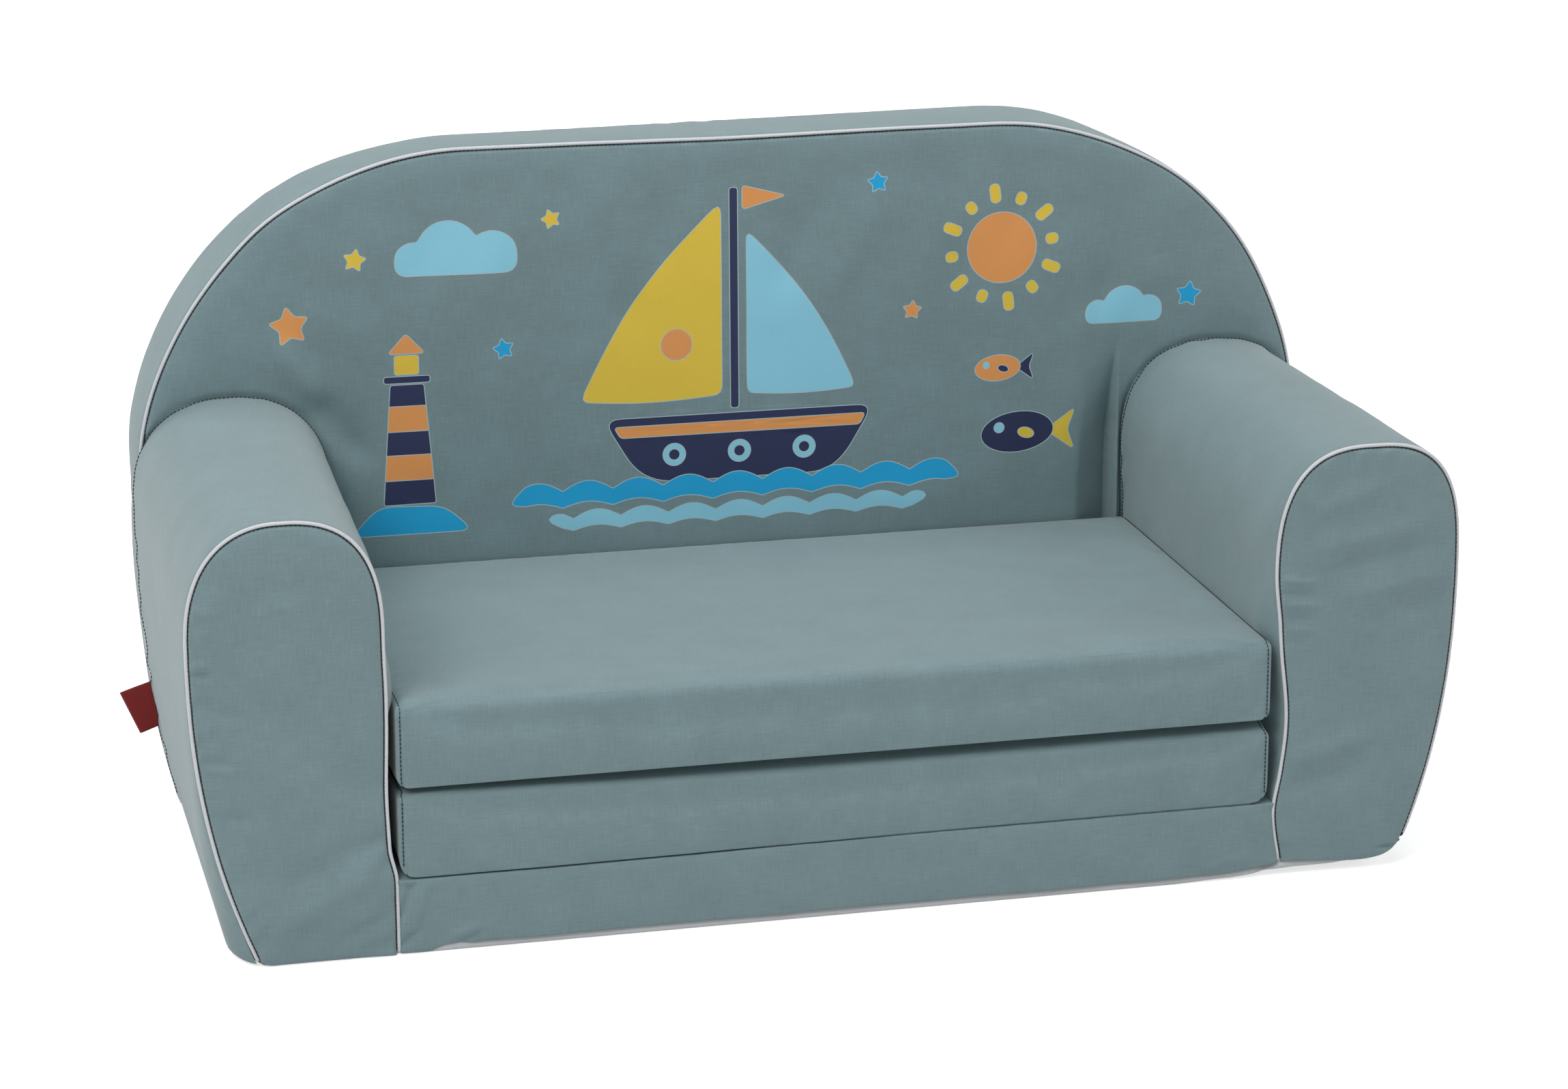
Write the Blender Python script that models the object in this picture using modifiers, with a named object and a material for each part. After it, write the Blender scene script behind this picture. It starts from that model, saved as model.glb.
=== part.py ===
"""A child's foam sofa whose two seat cushions fold out forward into a mattress.

Metres, +Z up. The seat faces -Y. The origin is on the floor under the middle of the sofa.
Left and right are as seen from the front.
"""

from math import asin, copysign, cos, pi, radians, sin, sqrt

import bmesh
import bpy
from mathutils import Matrix, Vector

# The whole sofa
WIDTH = 0.770
DEPTH = 0.340
HEIGHT = 0.420
SEAT_OPENING = 0.541
CUSHION_THICKNESS = 0.0495

# Cloth, and the room between pieces
CLOTH = 0.0012
CLEARANCE = 0.0003
FLOOR_ROOM = 0.0005
PIPING_RADIUS = 0.0020

# Backrest: an arch of a flat top, two round corners and two slightly bellied sides
BACK_THICKNESS = 0.0532
BACK_STEP = 0.0005
BACK_CORNER_RADIUS = 0.211
BACK_SIDE_RADIUS = 0.640
BACK_BELLY_HEIGHT = 0.158

# Arms: straight inside, a squarish round cap, and an outer side that tucks in to the floor, most of
# all close to the front
ARM_HEIGHT = 0.2675
ARM_CAP_HEIGHT = 0.0725
ARM_CAP_POWER = 2.4
ARM_TUCK_FRONT = 0.036
ARM_TUCK_REAR = 0.0215
ARM_TUCK_FRONT_POWER = 2.3
ARM_TUCK_REAR_POWER = 3.0
ARM_FRONT_TUCK_REACH = 0.040

# Cushions
CUSHION_SIDE_GAP = 0.0045
CUSHION_SHOWN_CROWN = 0.0030
CUSHION_RESTED_CROWN = 0.0010
CUSHION_FRONT_BULGE = 0.0012
CUSHION_END_RADIUS = 0.0040
CUSHION_END_INSET = 0.0030
SOFT_EDGE_RADIUS = 0.0080
SEWN_EDGE_RADIUS = 0.0025

# Cloth strips that join the base and the two cushions
TAPE_THICKNESS = 0.0006
TAPE_REACH = 0.0040
TAPE_END_MARGIN = 0.0100
FOLD_ROOM = 0.0016

# Tag in the left side seam, sewn in at an angle, so that its upper edge is the longer one
LABEL_LENGTH = 0.030
LABEL_UPPER_WIDTH = 0.0207
LABEL_LOWER_WIDTH = 0.0127
LABEL_THICKNESS = 0.0010
LABEL_TOP = 0.0862
LABEL_DROOP = radians(19)

# Cloth under the sofa
BOTTOM_MARGIN = 0.0010

# Zip in the rear panel
ZIP_LENGTH = 0.560
ZIP_HEIGHT = 0.030
ZIP_END_ROOM = 0.0040
ZIP_TAPE_WIDTH = 0.0075
ZIP_TAPE_THICKNESS = 0.0006
CHAIN_WIDTH = 0.0045
CHAIN_THICKNESS = 0.0016
STOP_LENGTH = 0.0030
SLIDER_LENGTH = 0.0110
SLIDER_WALL = 0.0010
BRIDGE_LENGTH = 0.0080
BRIDGE_WIDTH = 0.0022
BRIDGE_THICKNESS = 0.0010
PULL_LENGTH = 0.0240
PULL_WIDTH = 0.0064
PULL_THICKNESS = 0.0010
PULL_RAIL = 0.0012

# Steps along the round stretches
ARM_CAP_STEPS = 20
ARM_SIDE_STEPS = 7
ARM_DEPTH_SHARES = (0.0, 0.03, 0.07, 0.12, 0.17, 0.45, 0.72, 1.0)
BACK_CORNER_STEPS = 12
BACK_SIDE_STEPS = 6
EDGE_STEPS = 3
CUSHION_FLAT_STEPS = 6
CUSHION_UPRIGHT_STEPS = 3
CUSHION_WIDTH_SHARES = (-0.9, -0.7, -0.4, 0.0, 0.4, 0.7, 0.9)
PIPING_RESOLUTION = 2
SHARP_ANGLE = radians(35)

# Planes and places that follow from the sizes above
FRONT_Y = -DEPTH / 2
REAR_Y = DEPTH / 2
BACK_FRONT_Y = REAR_Y - BACK_THICKNESS
BACK_HALF_WIDTH = WIDTH / 2 - BACK_STEP
COVER = CLOTH + CLEARANCE
FOOT = CLOTH + CLEARANCE
PIPING_ROOM = 2 * PIPING_RADIUS + CLEARANCE
PIPED_EDGE = 2 * PIPING_RADIUS + sqrt(2) * (PIPING_RADIUS + CLEARANCE) - COVER
ARM_INNER_X = SEAT_OPENING / 2
ARM_WIDTH = WIDTH / 2 - ARM_INNER_X
ARM_MID_X = ARM_INNER_X + ARM_WIDTH / 2
ARM_WIDEST_HEIGHT = ARM_HEIGHT - ARM_CAP_HEIGHT
ARM_REAR_Y = BACK_FRONT_Y - CLEARANCE

# The fold axes lie on the outer faces of the tapes, half way between the pieces they join
CUSHION_REAR_GAP = 2 * CLEARANCE + TAPE_THICKNESS + FOLD_ROOM
CUSHION_REAR_Y = BACK_FRONT_Y - CUSHION_REAR_GAP
CUSHION_DEPTH = CUSHION_REAR_Y - FRONT_Y
CUSHION_MID_Y = (CUSHION_REAR_Y + FRONT_Y) / 2
CUSHION_HALF_WIDTH = SEAT_OPENING / 2 - CUSHION_SIDE_GAP
BASE_TOP = CUSHION_THICKNESS + FLOOR_ROOM
LOWER_FOLD_Z = BASE_TOP + CLEARANCE
LOWER_FOLD_Y = FRONT_Y - 2 * CLEARANCE - TAPE_THICKNESS
LOWER_BOTTOM = LOWER_FOLD_Z + CLEARANCE
LOWER_TOP = LOWER_BOTTOM + CUSHION_THICKNESS
UPPER_FOLD_Z = LOWER_TOP + CLEARANCE
UPPER_FOLD_Y = CUSHION_REAR_Y + 2 * CLEARANCE + TAPE_THICKNESS
UPPER_BOTTOM = UPPER_FOLD_Z + CLEARANCE
TAPE_LENGTH = 2 * (CUSHION_HALF_WIDTH - TAPE_END_MARGIN)

# The zip, from the foam outwards
ZIP_TAPE_Y = REAR_Y - CLOTH
CHAIN_Y = ZIP_TAPE_Y + ZIP_TAPE_THICKNESS + CLEARANCE
ROOF_Y = CHAIN_Y + CHAIN_THICKNESS + CLEARANCE
PULL_AXIS_Y = ROOF_Y + SLIDER_WALL + CLEARANCE + PULL_THICKNESS * sqrt(2) / 2
BRIDGE_Y = PULL_AXIS_Y + CLEARANCE + PULL_THICKNESS * sqrt(2) / 2
SLIDER_X = (ZIP_LENGTH - SLIDER_LENGTH) / 2 - CLEARANCE

# Colours as 8-bit sRGB, with roughness and metallic
COVER_CLOTH = ((134, 154, 158), 0.85, 0.0)
PIPING_CLOTH = ((196, 203, 204), 0.75, 0.0)
FOAM = ((236, 232, 214), 0.95, 0.0)
NON_WOVEN = ((206, 209, 210), 0.90, 0.0)
TAG_CLOTH = ((122, 22, 20), 0.70, 0.0)
ZIP_CLOTH = ((96, 112, 116), 0.85, 0.0)
ZIP_COIL = ((84, 98, 102), 0.45, 0.0)
ZIP_METAL = ((168, 170, 172), 0.35, 1.0)

PARTS = "childrens_sofa"
CUTTERS = "cutters"


def clear_scene():
    """Remove the objects of the scene that the script is run in."""
    for found in list(bpy.data.objects):
        bpy.data.objects.remove(found)


def collection(name):
    """The collection of this name, made and linked at the first call."""
    made = bpy.data.collections.get(name)
    if made is None:
        made = bpy.data.collections.new(name)
        bpy.context.scene.collection.children.link(made)
    return made


def linear(channel):
    """An 8-bit sRGB channel as linear light."""
    value = channel / 255
    return value / 12.92 if value <= 0.04045 else ((value + 0.055) / 1.055) ** 2.4


def add_object(name, data, finish):
    """Put mesh or curve data in the sofa's collection, with a material of its own."""
    made = bpy.data.objects.new(name, data)
    collection(PARTS).objects.link(made)
    colour, roughness, metallic = finish
    material = bpy.data.materials.new(name + "_material")
    material.use_nodes = True
    shader = material.node_tree.nodes["Principled BSDF"]
    shader.inputs["Base Color"].default_value = (*(linear(channel) for channel in colour), 1)
    shader.inputs["Roughness"].default_value = roughness
    shader.inputs["Metallic"].default_value = metallic
    data.materials.append(material)
    return made


def add_cutter(name, mesh):
    """Put a helper shape for a Boolean in the cutters' collection."""
    made = bpy.data.objects.new(name, mesh)
    collection(CUTTERS).objects.link(made)
    made.hide_render = True
    made.display_type = "WIRE"
    return made


def skin(sections, closed_rim, capped):
    """A mesh over a row of sections that have as many points each.

    Every quad is split along the same diagonal, so that two nested skins never cross.
    """
    shape = bmesh.new()
    rows = [[shape.verts.new(point) for point in section] for section in sections]
    count = len(rows[0])
    for row, after in zip(rows, rows[1:]):
        for i in range(count if closed_rim else count - 1):
            j = (i + 1) % count
            shape.faces.new((row[i], row[j], after[j]))
            shape.faces.new((row[i], after[j], after[i]))
    if capped:
        shape.faces.new(rows[0])
        shape.faces.new(rows[-1])
    bmesh.ops.recalc_face_normals(shape, faces=shape.faces)
    if not capped:
        face_outwards(shape)
    mesh = bpy.data.meshes.new("skin")
    shape.to_mesh(mesh)
    shape.free()
    mesh.shade_smooth()
    mesh.set_sharp_from_angle(angle=SHARP_ANGLE)
    return mesh


def face_outwards(shape):
    """Turn an open sheet's faces away from the middle of its points."""
    middle = sum((vert.co for vert in shape.verts), Vector()) / len(shape.verts)
    outward = sum(
        face.normal.dot(face.calc_center_median() - middle) * face.calc_area() for face in shape.faces
    )
    if outward < 0:
        bmesh.ops.reverse_faces(shape, faces=shape.faces)


def add_shell(name, sections, closed_rim, finish):
    """A cloth skin over the sections, as thick as the cloth, on their inner side."""
    made = add_object(name, skin(sections, closed_rim, capped=False), finish)
    solidify = made.modifiers.new("cloth", "SOLIDIFY")
    solidify.thickness = CLOTH
    solidify.offset = -1
    return made


def add_box(name, low, high, finish):
    """A box between two corners, placed by its middle."""
    low, high = Vector(low), Vector(high)
    shape = bmesh.new()
    bmesh.ops.create_cube(shape, size=1, matrix=Matrix.Diagonal((*(high - low), 1)))
    mesh = bpy.data.meshes.new(name)
    shape.to_mesh(mesh)
    shape.free()
    made = add_object(name, mesh, finish)
    made.location = (low + high) / 2
    return made


def add_plate(name, outlines, thickness, finish):
    """A flat plate about its own XY plane. Outlines after the first are holes."""
    curve = bpy.data.curves.new(name, "CURVE")
    curve.dimensions = "2D"
    curve.fill_mode = "BOTH"
    curve.extrude = thickness / 2
    for outline in outlines:
        add_spline(curve, [(x, y, 0) for x, y in outline], closed=True)
    return add_object(name, curve, finish)


def add_upright_plate(name, outlines, front_y, rear_y, finish):
    """A plate from outlines in X and Z, between two planes of Y."""
    made = add_plate(name, outlines, rear_y - front_y, finish)
    made.rotation_euler.x = pi / 2
    made.location.y = (front_y + rear_y) / 2
    return made


def add_spline(curve, points, closed):
    """Straight runs through the points."""
    spline = curve.splines.new("POLY")
    spline.points.add(len(points) - 1)
    for knot, point in zip(spline.points, points):
        knot.co = (*point, 1)
    spline.use_cyclic_u = closed


def add_piping(name, outline, y):
    """Round piping along an outline of X and Z points."""
    curve = bpy.data.curves.new(name, "CURVE")
    curve.dimensions = "3D"
    curve.bevel_depth = PIPING_RADIUS
    curve.bevel_resolution = PIPING_RESOLUTION
    curve.use_fill_caps = True
    add_spline(curve, [(x, y, z) for x, z in outline], closed=False)
    return add_object(name, curve, PIPING_CLOTH)


def add_axis(name, place, carrier=None):
    """An empty on a joint's axis."""
    axis = bpy.data.objects.new(name, None)
    collection(PARTS).objects.link(axis)
    axis.location = place
    if carrier:
        carry(axis, carrier)
    return axis


def carry(piece, axis):
    """Parent a piece that is already in place to a joint's empty."""
    place = Vector(axis.location)
    piece.parent = axis
    piece.matrix_parent_inverse = Matrix.Translation(-place)


def rectangle(low_x, low_y, high_x, high_y):
    """The corners of a rectangle."""
    return [(low_x, low_y), (high_x, low_y), (high_x, high_y), (low_x, high_y)]


def at_y(outline, y):
    """An outline of X and Z points, stood in a plane of Y."""
    return [(x, y, z) for x, z in outline]


# Backrest


def back_side_x(z):
    """The half width of the backrest at a height below its round corners."""
    side_x = BACK_HALF_WIDTH - BACK_SIDE_RADIUS
    return side_x + sqrt(BACK_SIDE_RADIUS**2 - (z - BACK_BELLY_HEIGHT) ** 2)


def back_outline(inset, foot):
    """The arch from its right foot over the top to its left foot, as X and Z."""
    lean = asin(
        (HEIGHT - BACK_CORNER_RADIUS - BACK_BELLY_HEIGHT) / (BACK_SIDE_RADIUS - BACK_CORNER_RADIUS)
    )
    side_radius = BACK_SIDE_RADIUS - inset
    side_x = BACK_HALF_WIDTH - BACK_SIDE_RADIUS
    start = -asin((BACK_BELLY_HEIGHT - foot) / side_radius)
    right = []
    for step in range(BACK_SIDE_STEPS):
        angle = start + (lean - start) * step / BACK_SIDE_STEPS
        right.append((side_x + side_radius * cos(angle), BACK_BELLY_HEIGHT + side_radius * sin(angle)))
    corner_radius = BACK_CORNER_RADIUS - inset
    corner_x = side_x + (BACK_SIDE_RADIUS - BACK_CORNER_RADIUS) * cos(lean)
    corner_z = HEIGHT - BACK_CORNER_RADIUS
    for step in range(BACK_CORNER_STEPS + 1):
        angle = lean + (pi / 2 - lean) * step / BACK_CORNER_STEPS
        right.append((corner_x + corner_radius * cos(angle), corner_z + corner_radius * sin(angle)))
    left = [(-x, z) for x, z in reversed(right)]
    return right + left


def make_backrest():
    """The foam slab, its front, rim and rear cloth, and the piping on its front edge."""
    foam = [
        at_y(back_outline(PIPED_EDGE, FOOT), BACK_FRONT_Y + COVER),
        at_y(back_outline(COVER, FOOT), BACK_FRONT_Y + PIPED_EDGE),
        at_y(back_outline(COVER, FOOT), REAR_Y - COVER),
    ]
    add_object("back_foam", skin(foam, closed_rim=True, capped=True), FOAM)
    add_upright_plate(
        "back_front_panel",
        [back_outline(PIPING_ROOM, FOOT)],
        BACK_FRONT_Y,
        BACK_FRONT_Y + CLOTH,
        COVER_CLOTH,
    )
    rim = [
        at_y(back_outline(0, FOOT), BACK_FRONT_Y + PIPING_ROOM),
        at_y(back_outline(0, FOOT), REAR_Y - COVER),
    ]
    add_shell("back_gusset", rim, closed_rim=False, finish=COVER_CLOTH)
    add_upright_plate(
        "back_rear_panel",
        [back_outline(0, FOOT), zip_slot()],
        REAR_Y - CLOTH,
        REAR_Y,
        COVER_CLOTH,
    )
    edge = back_outline(PIPING_RADIUS, FOOT + PIPING_RADIUS)
    add_piping("back_piping", edge, BACK_FRONT_Y + PIPING_RADIUS)


# Arms


def squared(value):
    """Push a sine or cosine outwards, which makes an ellipse squarer."""
    return copysign(abs(value) ** (2 / ARM_CAP_POWER), value)


def arm_outline(y, inset, foot):
    """The right arm's section at a depth, from inner foot over the top to outer foot."""
    half_width = ARM_WIDTH / 2 - inset
    cap_height = ARM_CAP_HEIGHT - inset
    outline = [(ARM_MID_X - half_width, foot)]
    for step in range(ARM_CAP_STEPS + 1):
        angle = pi * step / ARM_CAP_STEPS
        x = ARM_MID_X - half_width * squared(cos(angle))
        outline.append((x, ARM_WIDEST_HEIGHT + cap_height * squared(sin(angle))))
    for step in range(1, ARM_SIDE_STEPS + 1):
        z = ARM_WIDEST_HEIGHT + (foot - ARM_WIDEST_HEIGHT) * step / ARM_SIDE_STEPS
        outline.append((ARM_MID_X + half_width - arm_tuck(y, z), z))
    return outline


def arm_tuck(y, z):
    """How far the outer side has drawn in at a depth and height below the widest place."""
    behind_seam = max(y - FRONT_Y - PIPED_EDGE, 0)
    front_share = max(1 - behind_seam / ARM_FRONT_TUCK_REACH, 0) ** 2
    tuck = ARM_TUCK_REAR + (ARM_TUCK_FRONT - ARM_TUCK_REAR) * front_share
    power = ARM_TUCK_REAR_POWER + (ARM_TUCK_FRONT_POWER - ARM_TUCK_REAR_POWER) * front_share
    return tuck * ((ARM_WIDEST_HEIGHT - z) / ARM_WIDEST_HEIGHT) ** power


def arm_sections(side, stations, foot):
    """Sections of an arm through stations of depth and inset; side is -1 for the left arm."""
    return [
        [(side * x, y, z) for x, z in arm_outline(y, inset, foot)] for y, inset in stations
    ]


def make_arm(side, name):
    """One arm: foam, sleeve, front panel and piping."""
    body_front = FRONT_Y + PIPED_EDGE
    body_depth = ARM_REAR_Y - body_front
    body = [(body_front + body_depth * share, COVER) for share in ARM_DEPTH_SHARES]
    foam = arm_sections(side, [(FRONT_Y + COVER, PIPED_EDGE)] + body, FOOT)
    add_object("arm_foam_" + name, skin(foam, closed_rim=True, capped=True), FOAM)

    sleeve_front = FRONT_Y + PIPING_ROOM
    sleeve = [(sleeve_front, 0)] + [(y, 0) for y, _ in body]
    add_shell("arm_sleeve_" + name, arm_sections(side, sleeve, FOOT), closed_rim=False, finish=COVER_CLOTH)

    panel = [(side * x, z) for x, z in arm_outline(FRONT_Y, PIPING_ROOM, FOOT)]
    add_upright_plate("arm_front_panel_" + name, [panel], FRONT_Y, FRONT_Y + CLOTH, COVER_CLOTH)

    edge = [(side * x, z) for x, z in arm_outline(FRONT_Y, PIPING_RADIUS, FOOT + PIPING_RADIUS)]
    add_piping("arm_piping_" + name, edge, FRONT_Y + PIPING_RADIUS)


def make_label():
    """The tag in the seam between the left arm and the backrest, drooping a little."""
    roots = []
    tips = []
    for z, width in ((LABEL_TOP, LABEL_UPPER_WIDTH), (LABEL_TOP - LABEL_LENGTH, LABEL_LOWER_WIDTH)):
        x = -(back_side_x(z) + CLEARANCE)
        roots.append((x, z))
        tips.append((x - width * cos(LABEL_DROOP), z - width * sin(LABEL_DROOP)))
    outline = roots + tips[::-1]
    add_upright_plate("side_label", [outline], BACK_FRONT_Y, BACK_FRONT_Y + LABEL_THICKNESS, TAG_CLOTH)


# Base


def make_base():
    """The foam block between the arms, its front and top cloth, and the cloth under the sofa."""
    half = ARM_INNER_X - CLEARANCE
    rear = BACK_FRONT_Y - CLEARANCE
    add_box("base_foam", (-half, FRONT_Y + COVER, FOOT), (half, rear, BASE_TOP - COVER), FOAM)
    add_box(
        "base_front_panel",
        (-half, FRONT_Y, FOOT),
        (half, FRONT_Y + CLOTH, BASE_TOP - COVER),
        COVER_CLOTH,
    )
    add_box("deck_cloth", (-half, FRONT_Y, BASE_TOP - CLOTH), (half, rear, BASE_TOP), COVER_CLOTH)
    make_bottom_cloth()


def make_bottom_cloth():
    """The sheet that the sofa stands on, a little smaller than its footprint."""
    straight_y = FRONT_Y + PIPED_EDGE + ARM_FRONT_TUCK_REACH
    front = arm_outline(FRONT_Y, BOTTOM_MARGIN, 0)[-1][0]
    middle = arm_outline(straight_y, BOTTOM_MARGIN, 0)[-1][0]
    rear = back_outline(BOTTOM_MARGIN, 0)[0][0]
    right = [
        (front, FRONT_Y + BOTTOM_MARGIN),
        (middle, straight_y),
        (middle, ARM_REAR_Y),
        (rear, REAR_Y - BOTTOM_MARGIN),
    ]
    left = [(-x, y) for x, y in reversed(right)]
    made = add_plate("bottom_cloth", [right + left], CLOTH, NON_WOVEN)
    made.location.z = CLOTH / 2


# Cushions


def cushion_section(x_share, inset, crowns, radii):
    """Y and Z points round a cushion about its middle, at a share of its half width.

    crowns are for the top and the bottom. radii are for the edges at the bottom front, top front,
    top rear and bottom rear.
    """
    top_crown, bottom_crown = crowns
    low = -CUSHION_THICKNESS / 2 + bottom_crown + inset
    high = CUSHION_THICKNESS / 2 - top_crown - inset
    front = -CUSHION_DEPTH / 2 + CUSHION_FRONT_BULGE + inset
    rear = CUSHION_DEPTH / 2 - inset
    corners = ((front, low, 1, 1), (front, high, 1, -1), (rear, high, -1, -1), (rear, low, -1, 1))
    steps = (CUSHION_UPRIGHT_STEPS, CUSHION_FLAT_STEPS) * 2
    arcs = []
    for turn, ((y, z, in_y, in_z), radius) in enumerate(zip(corners, radii)):
        radius = max(radius - inset, CLEARANCE)
        start = pi * 3 / 2 - turn * pi / 2
        angles = [start - pi / 2 * step / EDGE_STEPS for step in range(EDGE_STEPS + 1)]
        middle_y, middle_z = y + in_y * radius, z + in_z * radius
        arcs.append([(middle_y + radius * cos(a), middle_z + radius * sin(a)) for a in angles])
    outline = []
    for arc, after, count in zip(arcs, arcs[1:] + arcs[:1], steps):
        outline += arc
        (y0, z0), (y1, z1) = arc[-1], after[0]
        outline += [
            (y0 + (y1 - y0) * step / count, z0 + (z1 - z0) * step / count) for step in range(1, count)
        ]
    fade = 1 - x_share**4
    return [swollen(y, z, (front, rear), (low, high), crowns, fade) for y, z in outline]


def swollen(y, z, depth_range, height_range, crowns, fade):
    """Lift a point of the plain section by the crowns and the front's bulge."""
    y_share = (2 * y - sum(depth_range)) / (depth_range[1] - depth_range[0])
    z_share = (2 * z - sum(height_range)) / (height_range[1] - height_range[0])
    crown = crowns[0] if z_share > 0 else crowns[1]
    z += crown * z_share * (1 - y_share**2) * fade
    y += CUSHION_FRONT_BULGE * min(y_share, 0) * (1 - z_share**2) * fade
    return y, z


def cushion_stations():
    """X places along a cushion, with the inset of its rounded ends."""
    end = CUSHION_HALF_WIDTH - COVER
    end_sine = 1 - COVER / CUSHION_END_RADIUS
    end_inset = CUSHION_END_RADIUS * (1 - sqrt(1 - end_sine**2))
    round_start = CUSHION_HALF_WIDTH - CUSHION_END_RADIUS
    ends = [(end, end_inset), (round_start, 0)]
    middle = [(CUSHION_HALF_WIDTH * share, 0) for share in CUSHION_WIDTH_SHARES]
    return [(-x, inset) for x, inset in ends] + middle + list(reversed(ends))


def cushion_sections(inset, crowns, radii):
    """Sections along a cushion for its cloth or, with an inset, its foam."""
    return [
        [
            (x, y, z)
            for y, z in cushion_section(x / CUSHION_HALF_WIDTH, inset + round_inset, crowns, radii)
        ]
        for x, round_inset in cushion_stations()
    ]


def make_cushion(name, bottom, crowns, radii, axis):
    """One cushion: foam, the cloth wrapped round it, and the cloth on its two ends."""
    place = Vector((0, CUSHION_MID_Y, bottom + CUSHION_THICKNESS / 2))
    foam_mesh = skin(cushion_sections(COVER, crowns, radii), closed_rim=True, capped=True)
    foam = add_object(name + "_foam", foam_mesh, FOAM)
    wrap = add_shell(name + "_wrap", cushion_sections(0, crowns, radii), closed_rim=True, finish=COVER_CLOTH)
    outline = cushion_section(1, CUSHION_END_INSET, crowns, radii)
    ends = []
    for side, side_name in ((-1, "left"), (1, "right")):
        end = add_plate(name + "_end_" + side_name, [outline], CLOTH, COVER_CLOTH)
        end.rotation_euler = (pi / 2, 0, pi / 2)
        end.location.x = side * (CUSHION_HALF_WIDTH - CLOTH / 2)
        ends.append(end)
    for piece in (foam, wrap, *ends):
        piece.location += place
        carry(piece, axis)


def make_hinge_tape(name, y_near, y_far, fold_z):
    """A cloth strip along a fold, reaching as far below the fold as above it."""
    low_y, high_y = sorted((y_near, y_far))
    half = TAPE_LENGTH / 2
    return add_box(name, (-half, low_y, fold_z - TAPE_REACH), (half, high_y, fold_z + TAPE_REACH), ZIP_CLOTH)


def make_seat():
    """The two cushions on their fold axes, and the tapes that join them."""
    lower_axis = add_axis("lower_fold_axis", (0, LOWER_FOLD_Y, LOWER_FOLD_Z))
    upper_axis = add_axis("upper_fold_axis", (0, UPPER_FOLD_Y, UPPER_FOLD_Z), lower_axis)
    rested = (CUSHION_RESTED_CROWN, CUSHION_RESTED_CROWN)
    crowned = (CUSHION_SHOWN_CROWN, CUSHION_RESTED_CROWN)
    lower_radii = (SEWN_EDGE_RADIUS, SOFT_EDGE_RADIUS, SEWN_EDGE_RADIUS, SEWN_EDGE_RADIUS)
    upper_radii = (SEWN_EDGE_RADIUS, SOFT_EDGE_RADIUS, SOFT_EDGE_RADIUS, SEWN_EDGE_RADIUS)
    make_cushion("lower_cushion", LOWER_BOTTOM, rested, lower_radii, lower_axis)
    make_cushion("upper_cushion", UPPER_BOTTOM, crowned, upper_radii, upper_axis)
    front_face = FRONT_Y - CLEARANCE
    make_hinge_tape("front_hinge_tape", front_face, front_face - TAPE_THICKNESS, LOWER_FOLD_Z)
    rear_face = CUSHION_REAR_Y + CLEARANCE
    rear_tape = make_hinge_tape("rear_hinge_tape", rear_face, rear_face + TAPE_THICKNESS, UPPER_FOLD_Z)
    carry(rear_tape, lower_axis)


# Zip


def zip_slot():
    """The opening in the rear panel that the zip is sewn into."""
    half_length = ZIP_LENGTH / 2 + ZIP_END_ROOM + CLEARANCE
    half_height = ZIP_TAPE_WIDTH + 3 * CLEARANCE / 2
    return rectangle(-half_length, ZIP_HEIGHT - half_height, half_length, ZIP_HEIGHT + half_height)


def make_zip_tapes():
    """The two woven tapes, edge to edge in the slot."""
    half_length = ZIP_LENGTH / 2 + ZIP_END_ROOM
    for side, name in ((-1, "lower"), (1, "upper")):
        edges = sorted((side * CLEARANCE / 2, side * (CLEARANCE / 2 + ZIP_TAPE_WIDTH)))
        add_box(
            "zip_tape_" + name,
            (-half_length, ZIP_TAPE_Y, ZIP_HEIGHT + edges[0]),
            (half_length, ZIP_TAPE_Y + ZIP_TAPE_THICKNESS, ZIP_HEIGHT + edges[1]),
            ZIP_CLOTH,
        )


def make_zip_chain():
    """The closed chain with a stop at each end."""
    half_length = ZIP_LENGTH / 2
    half_width = CHAIN_WIDTH / 2
    top_y = CHAIN_Y + CHAIN_THICKNESS
    bottom_z, top_z = ZIP_HEIGHT - half_width, ZIP_HEIGHT + half_width
    chain = add_box("zip_chain", (-half_length, CHAIN_Y, bottom_z), (half_length, top_y, top_z), ZIP_COIL)
    bevel = chain.modifiers.new("rounded coil", "BEVEL")
    bevel.width = CHAIN_THICKNESS / 3
    bevel.segments = 2
    near = half_length + CLEARANCE
    for side, name in ((-1, "left"), (1, "right")):
        ends = sorted((side * near, side * (near + STOP_LENGTH)))
        add_box("zip_stop_" + name, (ends[0], CHAIN_Y, bottom_z), (ends[1], top_y, top_z), ZIP_METAL)


def make_zip_slider(axis):
    """A channel over the chain with a bridge on its roof for the pull."""
    inner = CHAIN_WIDTH / 2 + CLEARANCE
    outer = inner + SLIDER_WALL
    roof = ROOF_Y + SLIDER_WALL
    channel = [
        (CHAIN_Y, -outer),
        (CHAIN_Y, -inner),
        (ROOF_Y, -inner),
        (ROOF_Y, inner),
        (CHAIN_Y, inner),
        (CHAIN_Y, outer),
        (roof, outer),
        (roof, -outer),
    ]
    half_length = SLIDER_LENGTH / 2
    sections = [
        [(SLIDER_X + x, y, ZIP_HEIGHT + z) for y, z in channel] for x in (-half_length, half_length)
    ]
    slider = add_object("zip_slider", skin(sections, closed_rim=True, capped=True), ZIP_METAL)
    union = slider.modifiers.new("bridge", "BOOLEAN")
    union.operation = "UNION"
    union.object = make_bridge(roof - SLIDER_WALL / 2)
    carry(slider, axis)


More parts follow.
